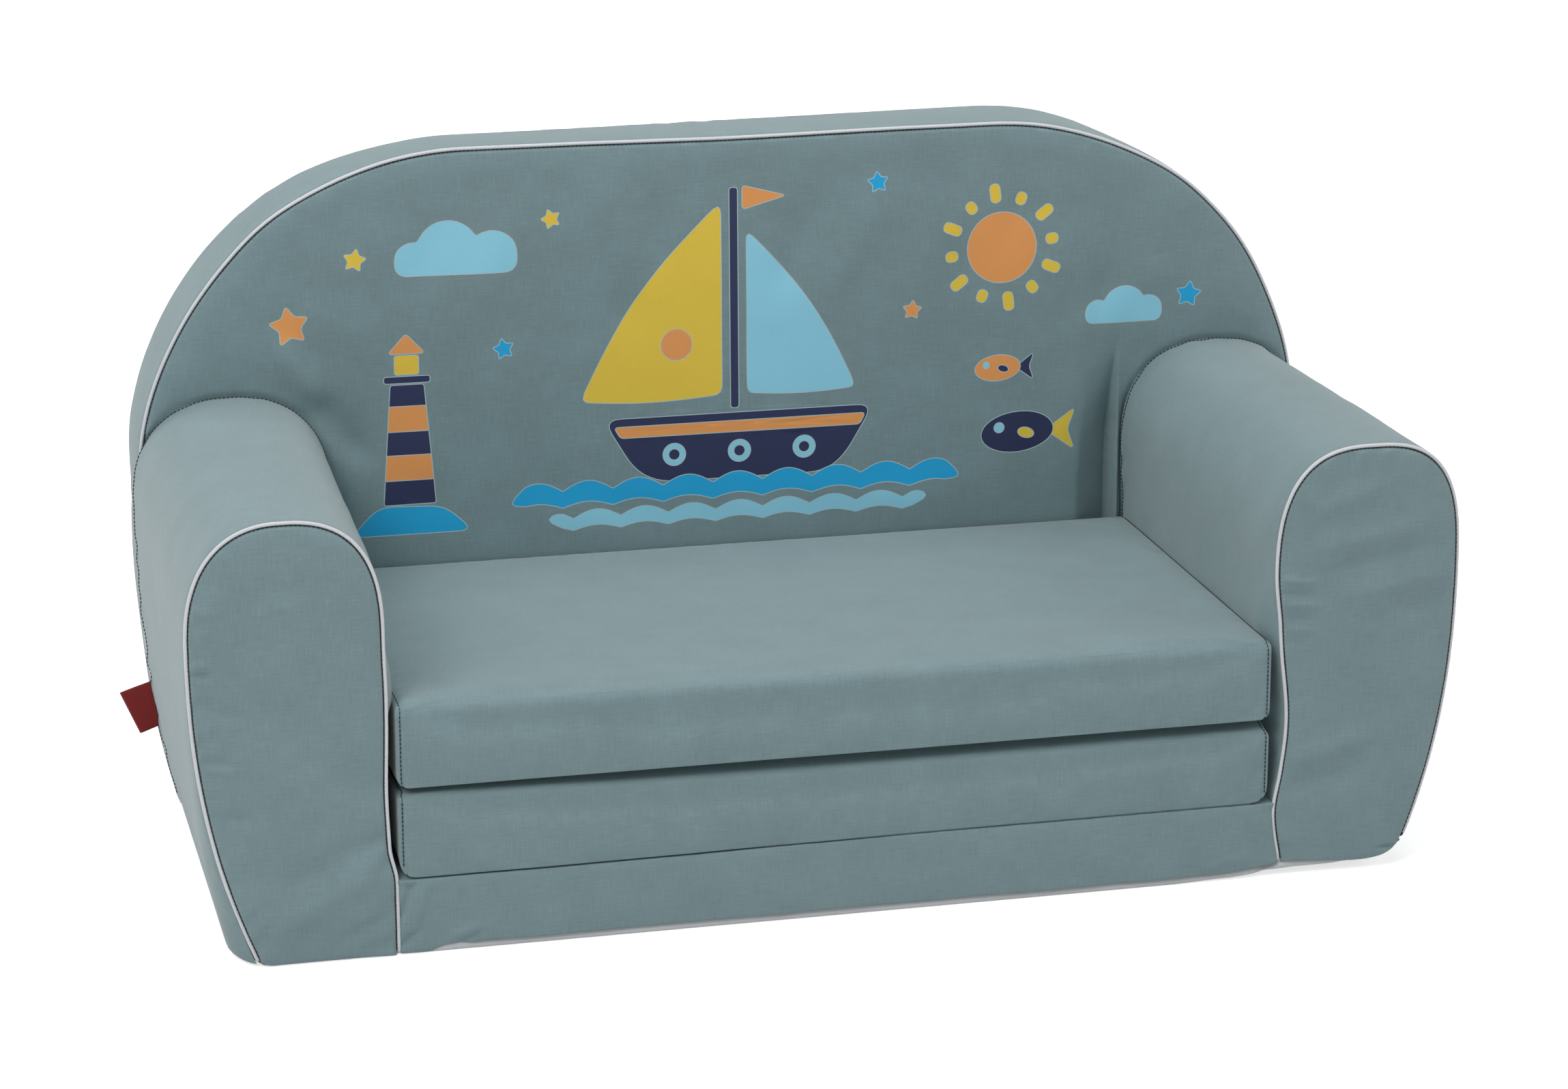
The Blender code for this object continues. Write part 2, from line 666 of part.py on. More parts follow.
def make_bridge(foot_y):
    """The arch along the slider's roof that holds the pull."""
    outer = BRIDGE_LENGTH / 2
    inner = outer - BRIDGE_THICKNESS
    top = BRIDGE_Y + BRIDGE_THICKNESS
    arch = [
        (-outer, foot_y),
        (-inner, foot_y),
        (-inner, BRIDGE_Y),
        (inner, BRIDGE_Y),
        (inner, foot_y),
        (outer, foot_y),
        (outer, BRIDGE_Y),
        (inner, top),
        (-inner, top),
        (-outer, BRIDGE_Y),
    ]
    half_width = BRIDGE_WIDTH / 2
    sections = [
        [(SLIDER_X + x, y, ZIP_HEIGHT + z) for x, y in arch] for z in (-half_width, half_width)
    ]
    return add_cutter("bridge_form", skin(sections, closed_rim=True, capped=True))


def make_zip_pull(axis):
    """The pull tab, a plate whose end bar passes under the slider's bridge."""
    bar = PULL_THICKNESS / 2
    half_width = BRIDGE_WIDTH / 2 + CLEARANCE + PULL_RAIL
    hole_end = BRIDGE_LENGTH / 2 + CLEARANCE
    tip = PULL_LENGTH - bar
    shoulder = hole_end + PULL_RAIL
    wide = PULL_WIDTH / 2
    outline = [
        (bar, -half_width),
        (bar, half_width),
        (-hole_end, half_width),
        (-shoulder, wide),
        (-tip + wide / 2, wide),
        (-tip, wide / 2),
        (-tip, -wide / 2),
        (-tip + wide / 2, -wide),
        (-shoulder, -wide),
        (-hole_end, -half_width),
    ]
    hole_half = half_width - PULL_RAIL
    hole = rectangle(-hole_end, -hole_half, -bar, hole_half)
    placed = [[(SLIDER_X + x, ZIP_HEIGHT + z) for x, z in points] for points in (outline, hole)]
    pull = add_upright_plate("zip_pull", placed, PULL_AXIS_Y - bar, PULL_AXIS_Y + bar, ZIP_METAL)
    carry(pull, axis)


def make_zip():
    """The zip along the rear panel's lower edge, closed, with its slider at the right end."""
    make_zip_tapes()
    make_zip_chain()
    slider_axis = add_axis("zip_travel_axis", (SLIDER_X, CHAIN_Y, ZIP_HEIGHT))
    make_zip_slider(slider_axis)
    pull_axis = add_axis("pull_swing_axis", (SLIDER_X, PULL_AXIS_Y, ZIP_HEIGHT), slider_axis)
    make_zip_pull(pull_axis)


def make_sofa():
    """The whole sofa, closed."""
    clear_scene()
    make_base()
    make_backrest()
    for side, name in ((-1, "left"), (1, "right")):
        make_arm(side, name)
    make_label()
    make_seat()
    make_zip()


make_sofa()
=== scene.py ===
"""The looks of the child's fold-out foam sofa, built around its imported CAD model.

Metres, +Z up, in the CAD's frame: the seat faces -Y. Left and right are as seen from the front.
"""

from math import asin, ceil, cos, pi, sin, sqrt

import bmesh
import bpy
import numpy as np
from mathutils import Matrix, Vector
from mathutils.bvhtree import BVHTree
from mathutils.geometry import delaunay_2d_cdt


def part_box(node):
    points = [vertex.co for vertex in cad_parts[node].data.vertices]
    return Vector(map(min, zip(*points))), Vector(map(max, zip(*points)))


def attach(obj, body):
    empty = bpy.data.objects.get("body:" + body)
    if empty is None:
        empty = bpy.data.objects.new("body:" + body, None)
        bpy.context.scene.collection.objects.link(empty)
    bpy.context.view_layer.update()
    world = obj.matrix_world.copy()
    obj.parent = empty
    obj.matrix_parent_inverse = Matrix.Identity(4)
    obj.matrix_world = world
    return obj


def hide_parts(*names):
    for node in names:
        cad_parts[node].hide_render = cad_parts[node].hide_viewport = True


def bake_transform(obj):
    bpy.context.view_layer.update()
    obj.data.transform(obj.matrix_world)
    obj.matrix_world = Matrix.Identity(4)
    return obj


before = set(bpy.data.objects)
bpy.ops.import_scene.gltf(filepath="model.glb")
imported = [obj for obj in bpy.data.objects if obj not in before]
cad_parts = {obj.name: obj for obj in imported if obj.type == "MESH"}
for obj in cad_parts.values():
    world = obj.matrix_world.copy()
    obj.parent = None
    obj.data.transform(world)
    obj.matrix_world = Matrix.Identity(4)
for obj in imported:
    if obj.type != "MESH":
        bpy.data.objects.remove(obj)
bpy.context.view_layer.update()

MM = 0.001

# Sizes read from the frame
SLEEVE_LOW, SLEEVE_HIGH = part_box("arm_sleeve_right")
BACK_RIM_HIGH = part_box("back_gusset")[1]
ARM_INNER_X = SLEEVE_LOW.x
ARM_REAR_Y = SLEEVE_HIGH.y
HEIGHT = BACK_RIM_HIGH.z
BACK_HALF_WIDTH = BACK_RIM_HIGH.x
FOOT = SLEEVE_LOW.z
FRONT_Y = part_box("arm_front_panel_right")[0].y
BACK_FRONT_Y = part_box("back_front_panel")[0].y
REAR_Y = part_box("back_rear_panel")[1].y
BASE_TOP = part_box("deck_cloth")[1].z

# Forms repeated from part.py
BACK_CORNER_RADIUS = 0.211
BACK_SIDE_RADIUS = 0.640
BACK_BELLY_HEIGHT = 0.158
ARM_TUCK = (0.036, 0.0215)
ARM_TUCK_POWER = (2.3, 2.4)
LOWER_FOLD = Vector((0, -0.1712, 0.0503))
UPPER_FOLD = Vector((0, 0.1152, 0.1004))

# The seams
PIPING_RADIUS = 1.1 * MM
PIPING_INSET = 1.1 * MM
PIPING_BACK = 2.0 * MM
PANEL_INSET = 2.6 * MM
SEAM_DIP = 1.5 * MM
SEAM_REACH = 7 * MM
# Stitches nearly touch, so each row reads as one dark line: thread, and painted shade of the seam it follows
STITCH_LENGTH = 2.3 * MM
STITCH_GAP = 0.35 * MM
STITCH_RADIUS = 0.36 * MM

# Cloth, and thread whose dark colour also paints the seams' shade
CLOTH_THICKNESS = 0.5 * MM
STITCH_LIFT = 0.15 * MM
STITCH_BACK = 1.4 * MM

# Steps of the meshes
ARC_POINTS = 60
RIM_COLUMNS = 340
SLEEVE_COLUMNS = 240
TUBE_SIDES = 12
NOISE_SIDE = 64
PANEL_STEP = 2.8 * MM
FINE_STEP = 0.8 * MM
COARSE_STEP = 4.2 * MM

# 8-bit sRGB colours
COVER = (131, 154, 158)
PIPING = (228, 229, 232)
# Thread colour set near black: partly the thread's own colour, partly painted shade of the seams it lies in
THREAD_AND_SEAM_SHADE = (30, 44, 48)
NON_WOVEN = (214, 216, 217)
TAG = (128, 26, 22)
ZIP_CLOTH = (92, 110, 114)
ZIP_COIL = (70, 86, 90)
ZIP_METAL = (168, 170, 172)
PRINTS = {
    "edge": (186, 206, 210),
    "navy": (38, 46, 82),
    "orange": (244, 164, 94),
    "yellow": (244, 208, 74),
    "sky": (154, 220, 242),
    "blue": (34, 176, 232),
}


# Shapes in numbers


def linear(colour):
    """An 8-bit sRGB colour as linear light with alpha."""
    values = [channel / 255 for channel in colour]
    return (*((v / 12.92 if v <= 0.04045 else ((v + 0.055) / 1.055) ** 2.4) for v in values), 1)


def smooth(low, high, value):
    """0 up to low, 1 from high, and a soft rise between them."""
    share = np.clip((value - low) / (high - low), 0, 1)
    return share * share * (3 - 2 * share)


def noise(x, y, cell, seed):
    """Soft value noise from -1 to 1 with bumps about as wide as a cell."""
    side = NOISE_SIDE
    lattice = np.random.default_rng(seed).uniform(-1, 1, (side, side))
    u, v = np.asarray(x) / cell, np.asarray(y) / cell
    column, row = np.floor(u).astype(int), np.floor(v).astype(int)
    across, up = u - column, v - row
    across, up = (share**3 * (share * (share * 6 - 15) + 10) for share in (across, up))
    near = lattice[row % side, column % side] * (1 - across) + lattice[row % side, (column + 1) % side] * across
    row = row + 1
    far = lattice[row % side, column % side] * (1 - across) + lattice[row % side, (column + 1) % side] * across
    return near * (1 - up) + far * up


def waves(x, y, seed, *layers):
    """Layers of soft noise, each with its height and cell in millimetres. Each layer takes the next seed."""
    return sum(height * MM * noise(x, y, cell * MM, seed + number) for number, (height, cell) in enumerate(layers))


def bump(value, middle, width):
    """A smooth bump of height 1 about its middle."""
    return np.exp(-(((value - middle) / width) ** 2))


def upright(flat, depth):
    """Points in the room from X and Z points and their depth."""
    return np.column_stack([flat[:, 0], depth + 0 * flat[:, 0], flat[:, 1]])


def lengths_along(path):
    """How far along a line of points each one lies."""
    return np.concatenate([[0], np.cumsum(np.linalg.norm(np.diff(path, axis=0), axis=1))])


def resampled(path, count):
    """The line of points, with this many at even distances."""
    path = np.asarray(path, float)
    along = lengths_along(path)
    wanted = np.linspace(0, along[-1], count)
    return np.column_stack([np.interp(wanted, along, path[:, axis]) for axis in range(path.shape[1])])


def even(path, step):
    """The line of points with steps of about this length."""
    return resampled(path, max(2, ceil(lengths_along(np.asarray(path, float))[-1] / step) + 1))


def graded(low, high, fine, coarse, growth=1.35):
    """Places from low to high with fine steps near both ends and coarse ones between."""
    half = (high - low) / 2
    steps = []
    step = fine
    while sum(steps) + step < half and step < coarse:
        steps.append(step)
        step *= growth
    rest = half - sum(steps)
    count = max(1, round(rest / coarse))
    steps += [rest / count] * count
    near = np.concatenate([[0], np.cumsum(steps)])
    return np.concatenate([low + near, (high - near[::-1])[1:]])


def nearest_on(path, points):
    """For each point, its distance from a line of points and how far along the nearest place is."""
    starts, steps = path[:-1], np.diff(path, axis=0)
    squares = np.maximum((steps**2).sum(1), 1e-18)
    along = lengths_along(path)
    distance = np.empty(len(points))
    place = np.empty(len(points))
    for first in range(0, len(points), 2000):
        part = points[first : first + 2000]
        offset = part[:, None] - starts[None]
        share = np.clip((offset * steps[None]).sum(2) / squares, 0, 1)
        gap = np.linalg.norm(offset - share[..., None] * steps[None], axis=2)
        best = gap.argmin(1)
        row = np.arange(len(part))
        distance[first : first + 2000] = gap[row, best]
        place[first : first + 2000] = along[best] + share[row, best] * np.sqrt(squares[best])
    return distance, place


def inside(outline, points):
    """Which points lie within a closed outline."""
    found = np.zeros(len(points), bool)
    for (x0, y0), (x1, y1) in zip(outline, np.roll(outline, -1, axis=0)):
        if y0 != y1:
            crosses = (y0 > points[:, 1]) != (y1 > points[:, 1])
            found ^= crosses & (points[:, 0] < (x1 - x0) * (points[:, 1] - y0) / (y1 - y0) + x0)
    return found


def normals_along(path):
    """The unit normals of a flat line of points, to the right of its direction."""
    tangent = np.gradient(path, axis=0)
    tangent /= np.maximum(np.linalg.norm(tangent, axis=1), 1e-12)[:, None]
    return np.column_stack([tangent[:, 1], -tangent[:, 0]])


def seam_dip(away, depth=SEAM_DIP, reach=SEAM_REACH):
    """How far cloth is drawn in near a seam."""
    return depth * np.clip(1 - away / reach, 0, 1) ** 2


def rolled_edge(away, radius=1.8 * MM, dip=0.7 * MM):
    """How far a panel turns back beside its seam: a small round edge after a soft draw-in."""
    share = np.clip(1 - away / radius, 0, 1)
    return radius * (1 - np.sqrt(1 - share**2)) + seam_dip(away, dip, 12 * MM)


def puckers(along, away, seed, spacing, reach, share):
    """Small creases that run away from a seam, in some stretches of it more than in others.

    Spacing and reach are in millimetres.
    """
    spacing, reach = spacing * MM, reach * MM
    slanted = along + 0.25 * away * np.sign(noise(along, 0 * along, 60 * MM, seed + 7))
    wave = noise(slanted, away * 0.15, spacing, seed)
    patch = smooth(1 - 2 * share, 1, noise(along, 0 * along, 9 * spacing, seed + 3) + 0.35)
    lengths = reach * (1 + 0.6 * noise(along, 0 * along, 2.5 * spacing, seed + 5))
    return wave * (0.25 + patch) * bump(away, 0, lengths) * smooth(-1 * MM, 2.5 * MM, away)


def fold(x, z, start, end, width, height):
    """A soft ridge along a line, which fades out towards both ends. A negative height is a dent."""
    start, end = np.array(start), np.array(end)
    way = end - start
    length = np.linalg.norm(way)
    way /= length
    dx, dz = x - start[0], z - start[1]
    along = (dx * way[0] + dz * way[1]) / length
    across = -dx * way[1] + dz * way[0]
    fade = smooth(0, 0.35, along) * (1 - smooth(0.65, 1, along))
    return height * fade * bump(across, 0, width)


def with_folds(value, x, z, table):
    """The value with each fold of a table added: start and end, then width and height in millimetres."""
    for start, end, width, height in table:
        value = value + fold(x, z, start, end, width * MM, height * MM)
    return value


# Meshes


def linked(name, data):
    """A new object in the scene."""
    made = bpy.data.objects.new(name, data)
    bpy.context.scene.collection.objects.link(made)
    return made


def new_mesh(name, points, faces, uvs=None, slots=None):
    """A smooth object from points and faces, with the cloth's own coordinates in metres at each corner."""
    mesh = bpy.data.meshes.new(name)
    mesh.from_pydata(np.asarray(points).tolist(), [], [list(map(int, face)) for face in faces])
    if uvs is not None:
        layer = mesh.uv_layers.new(name="cloth")
        layer.uv.foreach_set("vector", np.asarray(uvs, np.float32).ravel())
    if slots is not None:
        mesh.polygons.foreach_set("material_index", np.asarray(slots, np.int32))
    mesh.shade_smooth()
    mesh.update()
    return linked(name, mesh)


def finished(piece, material, body, replaced=()):
    """Give a piece its materials and body, and hide the CAD nodes that it stands for."""
    for each in material if isinstance(material, list) else [material]:
        piece.data.materials.append(each)
    if body:
        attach(piece, body)
    if replaced:
        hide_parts(*replaced)
    return piece


def covered(piece, finish, *replaced):
    """Finish a piece of the sofa's cover cloth."""
    return finished(piece, finish["cover"], "sofa", replaced)


def grid(name, points, coordinates, closed=False, flip=False):
    """A net of quads over rows and columns of points. Closed joins the last column to the first."""
    rows, columns = points.shape[:2]
    faces, uvs = [], []
    for row in range(rows - 1):
        for column in range(columns if closed else columns - 1):
            corners = [(row, column), (row, column + 1), (row + 1, column + 1), (row + 1, column)]
            if flip:
                corners.reverse()
            faces.append([r * columns + c % columns for r, c in corners])
            uvs += [coordinates[r, c] for r, c in corners]
    return new_mesh(name, points.reshape(-1, 3), faces, uvs)


def leftward(outline):
    """The closed outline, running anticlockwise."""
    outline = np.asarray(outline, float)
    x, z = outline[:, 0], outline[:, 1]
    turning = (x * np.roll(z, -1) - z * np.roll(x, -1)).sum()
    return outline if turning > 0 else outline[::-1]


def flat_net(outline, step, shapes=(), rows=()):
    """A triangle net within an outline, cut along the outlines of shapes, with rows of points laid in it.

    Gives its points, its triangles, and for each triangle the number of the topmost shape it lies in,
    or 0 outside them all.
    """
    outline = leftward(outline)
    shapes = [leftward(shape) for shape in shapes]
    low, high = outline.min(0), outline.max(0)
    across, up = np.meshgrid(np.arange(low[0], high[0], step), np.arange(low[1], high[1], step * sqrt(3) / 2))
    across[1::2] += step / 2
    net = np.column_stack([across.ravel(), up.ravel()])
    for row in rows:
        net = net[nearest_on(row, net)[0] > 0.4 * step]
    net = np.vstack([net, *rows])
    net = net[inside(outline, net)]
    if rows:
        net = net[nearest_on(np.vstack([outline, outline[:1]]), net)[0] > 0.3 * MM]
    closed = [np.vstack([ring, ring[:1]]) for ring in (outline, *shapes)]
    for ring, room in zip(closed, [0.45 * step if not rows else 0] + [0.25 * step] * len(shapes)):
        box = ((net > ring.min(0) - step) & (net < ring.max(0) + step)).all(1)
        near = np.zeros(len(net), bool)
        if box.any():
            near[box] = nearest_on(ring, net[box])[0] < room
        net = net[~near]
    points = [Vector(point) for point in net]
    rings = []
    for ring in (outline, *shapes):
        rings.append(list(range(len(points), len(points) + len(ring))))
        points += [Vector(point) for point in ring]
    found = delaunay_2d_cdt(points, [], rings, 1, 1e-7, True)
    kept = [(face, max(origin)) for face, origin in zip(found[2], found[5]) if origin]
    places = np.array([tuple(point) for point in found[0]])
    return places, [face for face, _ in kept], [shape for _, shape in kept]


def thicken(piece, thickness=CLOTH_THICKNESS, offset=-1):
    """Give a piece of cloth its thickness."""
    solidify = piece.modifiers.new("cloth", "SOLIDIFY")
    solidify.thickness = thickness
    solidify.offset = offset


def panel(name, outline, step, place, shapes=(), slots=(0,), rows=(), flip=False):
    """A piece of cloth cut to an outline. place turns its flat points into points in the room."""
    flat, faces, owners = flat_net(outline, step, shapes, rows)
    if flip:
        faces = [face[::-1] for face in faces]
    uvs = [flat[corner] for face in faces for corner in face]
    return new_mesh(name, place(flat), faces, uvs, [slots[owner] for owner in owners])


def tube(name, path, sides, across, radius):
    """A tube along a line of points. across gives the direction of its ring's first point at each one."""
    path = np.asarray(path, float)
    tangent = np.gradient(path, axis=0)
    tangent /= np.linalg.norm(tangent, axis=1)[:, None]
    first = np.asarray(across, float)
    first = first - (first * tangent).sum(1)[:, None] * tangent
    first /= np.linalg.norm(first, axis=1)[:, None]
    second = np.cross(tangent, first)
    along = lengths_along(path)
    angles = np.linspace(0, 2 * pi, sides, endpoint=False)
    radius = np.broadcast_to(radius, (len(path), sides))
    rings = path[:, None] + radius[..., None] * (
        np.cos(angles)[None, :, None] * first[:, None] + np.sin(angles)[None, :, None] * second[:, None]
    )
    girth = np.linspace(0, 2 * pi * float(radius.mean()), sides + 1)
    coordinates = np.stack(np.meshgrid(along, girth, indexing="ij"), axis=2)
    made = grid(name, rings, coordinates, closed=True)
    shape = bmesh.new()
    shape.from_mesh(made.data)
    bmesh.ops.holes_fill(shape, edges=[edge for edge in shape.edges if edge.is_boundary])
    bmesh.ops.recalc_face_normals(shape, faces=shape.faces)
    shape.to_mesh(made.data)
    shape.free()
    return made


def thread_shape():
    """Points and faces of one stitch, as long, wide and high as 2 units each, about its middle."""
    rings = [(-0.8, 0.62), (0.0, 1.0), (0.8, 0.62)]
    points = [(-1.0, 0.0, 0.0)]
    for x, size in rings:
        points += [(x, size * cos(pi * k / 3), size * sin(pi * k / 3)) for k in range(6)]
    points.append((1.0, 0.0, 0.0))
    faces = [(0, 1 + (k + 1) % 6, 1 + k) for k in range(6)]
    for ring in range(2):
        a, b = 1 + ring * 6, 7 + ring * 6
        faces += [(a + k, a + (k + 1) % 6, b + (k + 1) % 6, b + k) for k in range(6)]
    last = 1 + 3 * 6
    faces += [(last, 13 + k, 13 + (k + 1) % 6) for k in range(6)]
    return np.array(points), faces


def stitches(name, lines, material, body, length=STITCH_LENGTH, gap=STITCH_GAP, radius=STITCH_RADIUS):
    """Rows of stitches. Each line is its points and the cloth's normals there."""
    form, form_faces = thread_shape()
    points, faces = [], []
    for path, normals in lines:
        count = max(2, round(lengths_along(path)[-1] / (length + gap)))
        ends = resampled(path, count + 1)
        ups = resampled(np.column_stack([lengths_along(path), normals]), count + 1)[:, 1:]
        for start, end, up in zip(ends, ends[1:], ups):
            way = end - start
            size = np.linalg.norm(way)
            if size < 1e-6:
                continue
            way /= size
            up = up - (up @ way) * way
            up /= max(np.linalg.norm(up), 1e-9)
            side = np.cross(up, way)
            scaled = form * (length / 2, radius, radius)
            first = len(points)
            points += list((start + end) / 2 + scaled @ np.array([way, side, up]))
            faces += [[first + corner for corner in face] for face in form_faces]
    uvs = [points[corner][:2] for face in faces for corner in face]
    return finished(new_mesh(name, points, faces, uvs), material, body)


def level_line(path, way):
    """A line of stitches on cloth that faces the front (-1) or the rear (1)."""
    return path, np.tile((0.0, float(way), 0.0), (len(path), 1))


# Materials


def set_inputs(node, **values):
    """Plain values for a node's sockets, by their names."""
    for key, value in values.items():
        node.inputs[key.replace("_", " ")].default_value = value


def add(tree, kind, settings=None, **inputs):
    """A node with its settings and, by socket name, its plain values."""
    made = tree.nodes.new("ShaderNode" + kind)
    for key, value in (settings or {}).items():
        setattr(made, key, value)
    set_inputs(made, **inputs)
    return made


def calculate(tree, operation, *values):
    """A Math node on numbers and sockets."""
    made = tree.nodes.new("ShaderNodeMath")
    made.operation = operation
    for socket, value in zip(made.inputs, values):
        if isinstance(value, (int, float)):
            socket.default_value = value
        else:
            tree.links.new(value, socket)
    return made.outputs[0]


def new_material(name):
    """An empty node material, its tree and its Principled shader."""
    made = bpy.data.materials.new(name)
    made.use_nodes = True
    return made, made.node_tree, made.node_tree.nodes["Principled BSDF"]


def mixed(tree, share, dark, pale):
    """A colour between two, by a socket from 0 to 1."""
    made = add(tree, "Mix", {"data_type": "RGBA"})
    tree.links.new(share, made.inputs[0])
    made.inputs[6].default_value = dark
    made.inputs[7].default_value = pale
    return made.outputs[2]


def streaks(tree, cloth, across, along, detail=2.0):
    """Noise drawn out along one direction of the cloth, as uneven threads are."""
    scaled = add(tree, "Mapping", Scale=(1 / across, 1 / along, 1))
    tree.links.new(cloth, scaled.inputs["Vector"])
    found = add(tree, "TexNoise", {"noise_dimensions": "2D"}, Scale=1.0, Detail=detail, Roughness=0.6)
    tree.links.new(scaled.outputs[0], found.inputs["Vector"])
    return found.outputs["Fac"]


def shaded(colour, amount):
    """The colour made lighter or darker by a share."""
    return (*(min(1.0, channel * (1 + amount)) for channel in linear(colour)[:3]), 1)


def woven(name, colour, roughness=0.82, sheen=0.45, pitch=0.42 * MM, contrast=0.17, bump=0.45, gloss=0.35):
    """Plain-weave cloth: threads that pass over and under each other, with slubs and mottling."""
    made, tree, shader = new_material(name)
    cloth = add(tree, "UVMap", {"uv_map": "cloth"}).outputs[0]
    apart = add(tree, "SeparateXYZ")
    tree.links.new(cloth, apart.inputs[0])
    waves = []
    for axis in range(2):
        turned = calculate(tree, "MULTIPLY", apart.outputs[axis], pi / pitch)
        waves.append(calculate(tree, "ABSOLUTE", calculate(tree, "SINE", turned)))
    over = add(tree, "TexChecker", Scale=1 / pitch)
    tree.links.new(cloth, over.inputs["Vector"])
    first = calculate(tree, "MULTIPLY", waves[0], over.outputs["Fac"])
    second = calculate(tree, "MULTIPLY", waves[1], calculate(tree, "SUBTRACT", 1.0, over.outputs["Fac"]))
    weave = calculate(tree, "ADD", first, second)
    warp = streaks(tree, cloth, 0.55 * MM, 14 * MM)
    weft = streaks(tree, cloth, 14 * MM, 0.55 * MM)
    mottle = streaks(tree, cloth, 38 * MM, 30 * MM, detail=4.0)
    grain = streaks(tree, cloth, 0.9 * MM, 0.9 * MM)
    share = calculate(tree, "MULTIPLY_ADD", weave, 0.28, 0.0)
    for source, weight in ((warp, 0.42), (weft, 0.42), (mottle, 0.30), (grain, 0.22)):
        share = calculate(tree, "MULTIPLY_ADD", source, weight, share)
    share = calculate(tree, "SUBTRACT", share, 0.34)
    dark, pale = shaded(colour, -contrast), shaded(colour, contrast)
    tree.links.new(mixed(tree, share, dark, pale), shader.inputs["Base Color"])
    height = calculate(tree, "MULTIPLY_ADD", warp, 0.5, calculate(tree, "MULTIPLY_ADD", weft, 0.5, weave))
    relief = add(tree, "Bump", Strength=bump, Distance=0.12 * MM)
    tree.links.new(height, relief.inputs["Height"])
    tree.links.new(relief.outputs[0], shader.inputs["Normal"])
    tree.links.new(calculate(tree, "MULTIPLY_ADD", grain, 0.12, roughness - 0.06), shader.inputs["Roughness"])
    set_inputs(shader, Specular_IOR_Level=gloss, Sheen_Weight=sheen)
    set_inputs(shader, Sheen_Roughness=0.42, Sheen_Tint=(1, 0.98, 0.96, 1))
    return made


def fleece(name, colour):
    """Non-woven cloth: pressed fibres with a lattice of small bond points."""
    made, tree, shader = new_material(name)
    place = add(tree, "TexCoord").outputs["Object"]
    fibres = add(tree, "TexNoise", Scale=900.0, Detail=5.0, Roughness=0.7, Distortion=1.5)
    clouds = add(tree, "TexNoise", Scale=55.0, Detail=3.0, Roughness=0.6)
    dots = add(tree, "TexVoronoi", Scale=620.0, Randomness=0.25)
    for texture in (fibres, clouds, dots):
        tree.links.new(place, texture.inputs["Vector"])
    share = calculate(tree, "MULTIPLY", clouds.outputs["Fac"], 0.4)
    share = calculate(tree, "MULTIPLY_ADD", fibres.outputs["Fac"], 0.6, share)
    tree.links.new(mixed(tree, share, shaded(colour, -0.16), shaded(colour, 0.1)), shader.inputs["Base Color"])
    relief = add(tree, "Bump", Strength=0.3, Distance=0.2 * MM)
    tree.links.new(calculate(tree, "ADD", fibres.outputs["Fac"], dots.outputs["Distance"]), relief.inputs["Height"])
    tree.links.new(relief.outputs[0], shader.inputs["Normal"])
    set_inputs(shader, Roughness=0.88, Sheen_Weight=0.15)
    return made


def metal(name, colour):
    """Nickel-like metal with fine scratches and cloudy roughness."""
    made, tree, shader = new_material(name)
    place = add(tree, "TexCoord").outputs["Object"]
    clouds = add(tree, "TexNoise", Scale=420.0, Detail=4.0, Roughness=0.6)
    stretched = add(tree, "Mapping", Scale=(300, 4000, 4000))
    tree.links.new(place, stretched.inputs["Vector"])
    scratches = add(tree, "TexNoise", Scale=1.0, Detail=2.0)
    tree.links.new(place, clouds.inputs["Vector"])
    tree.links.new(stretched.outputs[0], scratches.inputs["Vector"])
    tone = mixed(tree, clouds.outputs["Fac"], shaded(colour, -0.12), shaded(colour, 0.08))
    tree.links.new(tone, shader.inputs["Base Color"])
    tree.links.new(calculate(tree, "MULTIPLY_ADD", clouds.outputs["Fac"], 0.22, 0.2), shader.inputs["Roughness"])
    relief = add(tree, "Bump", Strength=0.12, Distance=0.05 * MM)
    tree.links.new(scratches.outputs["Fac"], relief.inputs["Height"])
    tree.links.new(relief.outputs[0], shader.inputs["Normal"])
    shader.inputs["Metallic"].default_value = 1.0
    return made


def make_materials():
    """Every finish by name."""
    made = {
        "cover": woven("cover_cloth", COVER, contrast=0.32),
        "piping": woven("piping_satin", PIPING, roughness=0.5, sheen=0.25, pitch=0.3 * MM, contrast=0.08, gloss=0.5),
        # The thread's dark colour is partly painted seam shade
        "thread_and_seam_shade": woven("thread_with_painted_seam_shade", THREAD_AND_SEAM_SHADE, roughness=0.7, sheen=0.1, pitch=0.2 * MM, contrast=0.2),
        "tag": woven("tag_cloth", TAG, roughness=0.62, sheen=0.1, pitch=0.35 * MM, contrast=0.16, bump=0.5),
        "zip_cloth": woven("zip_cloth", ZIP_CLOTH, pitch=0.5 * MM, contrast=0.18, bump=0.6),
        "zip_coil": woven("zip_coil", ZIP_COIL, roughness=0.42, sheen=0.0, contrast=0.1, bump=0.1, gloss=0.5),
        "non_woven": fleece("non_woven", NON_WOVEN),
        "metal": metal("zip_metal", ZIP_METAL),
    }
    for name, colour in PRINTS.items():
        made[name] = woven("print_" + name, colour, roughness=0.6, sheen=0.06, contrast=0.05, bump=0.2, gloss=0.4)
    return made


# Outlines of the sofa's parts, in X and Z


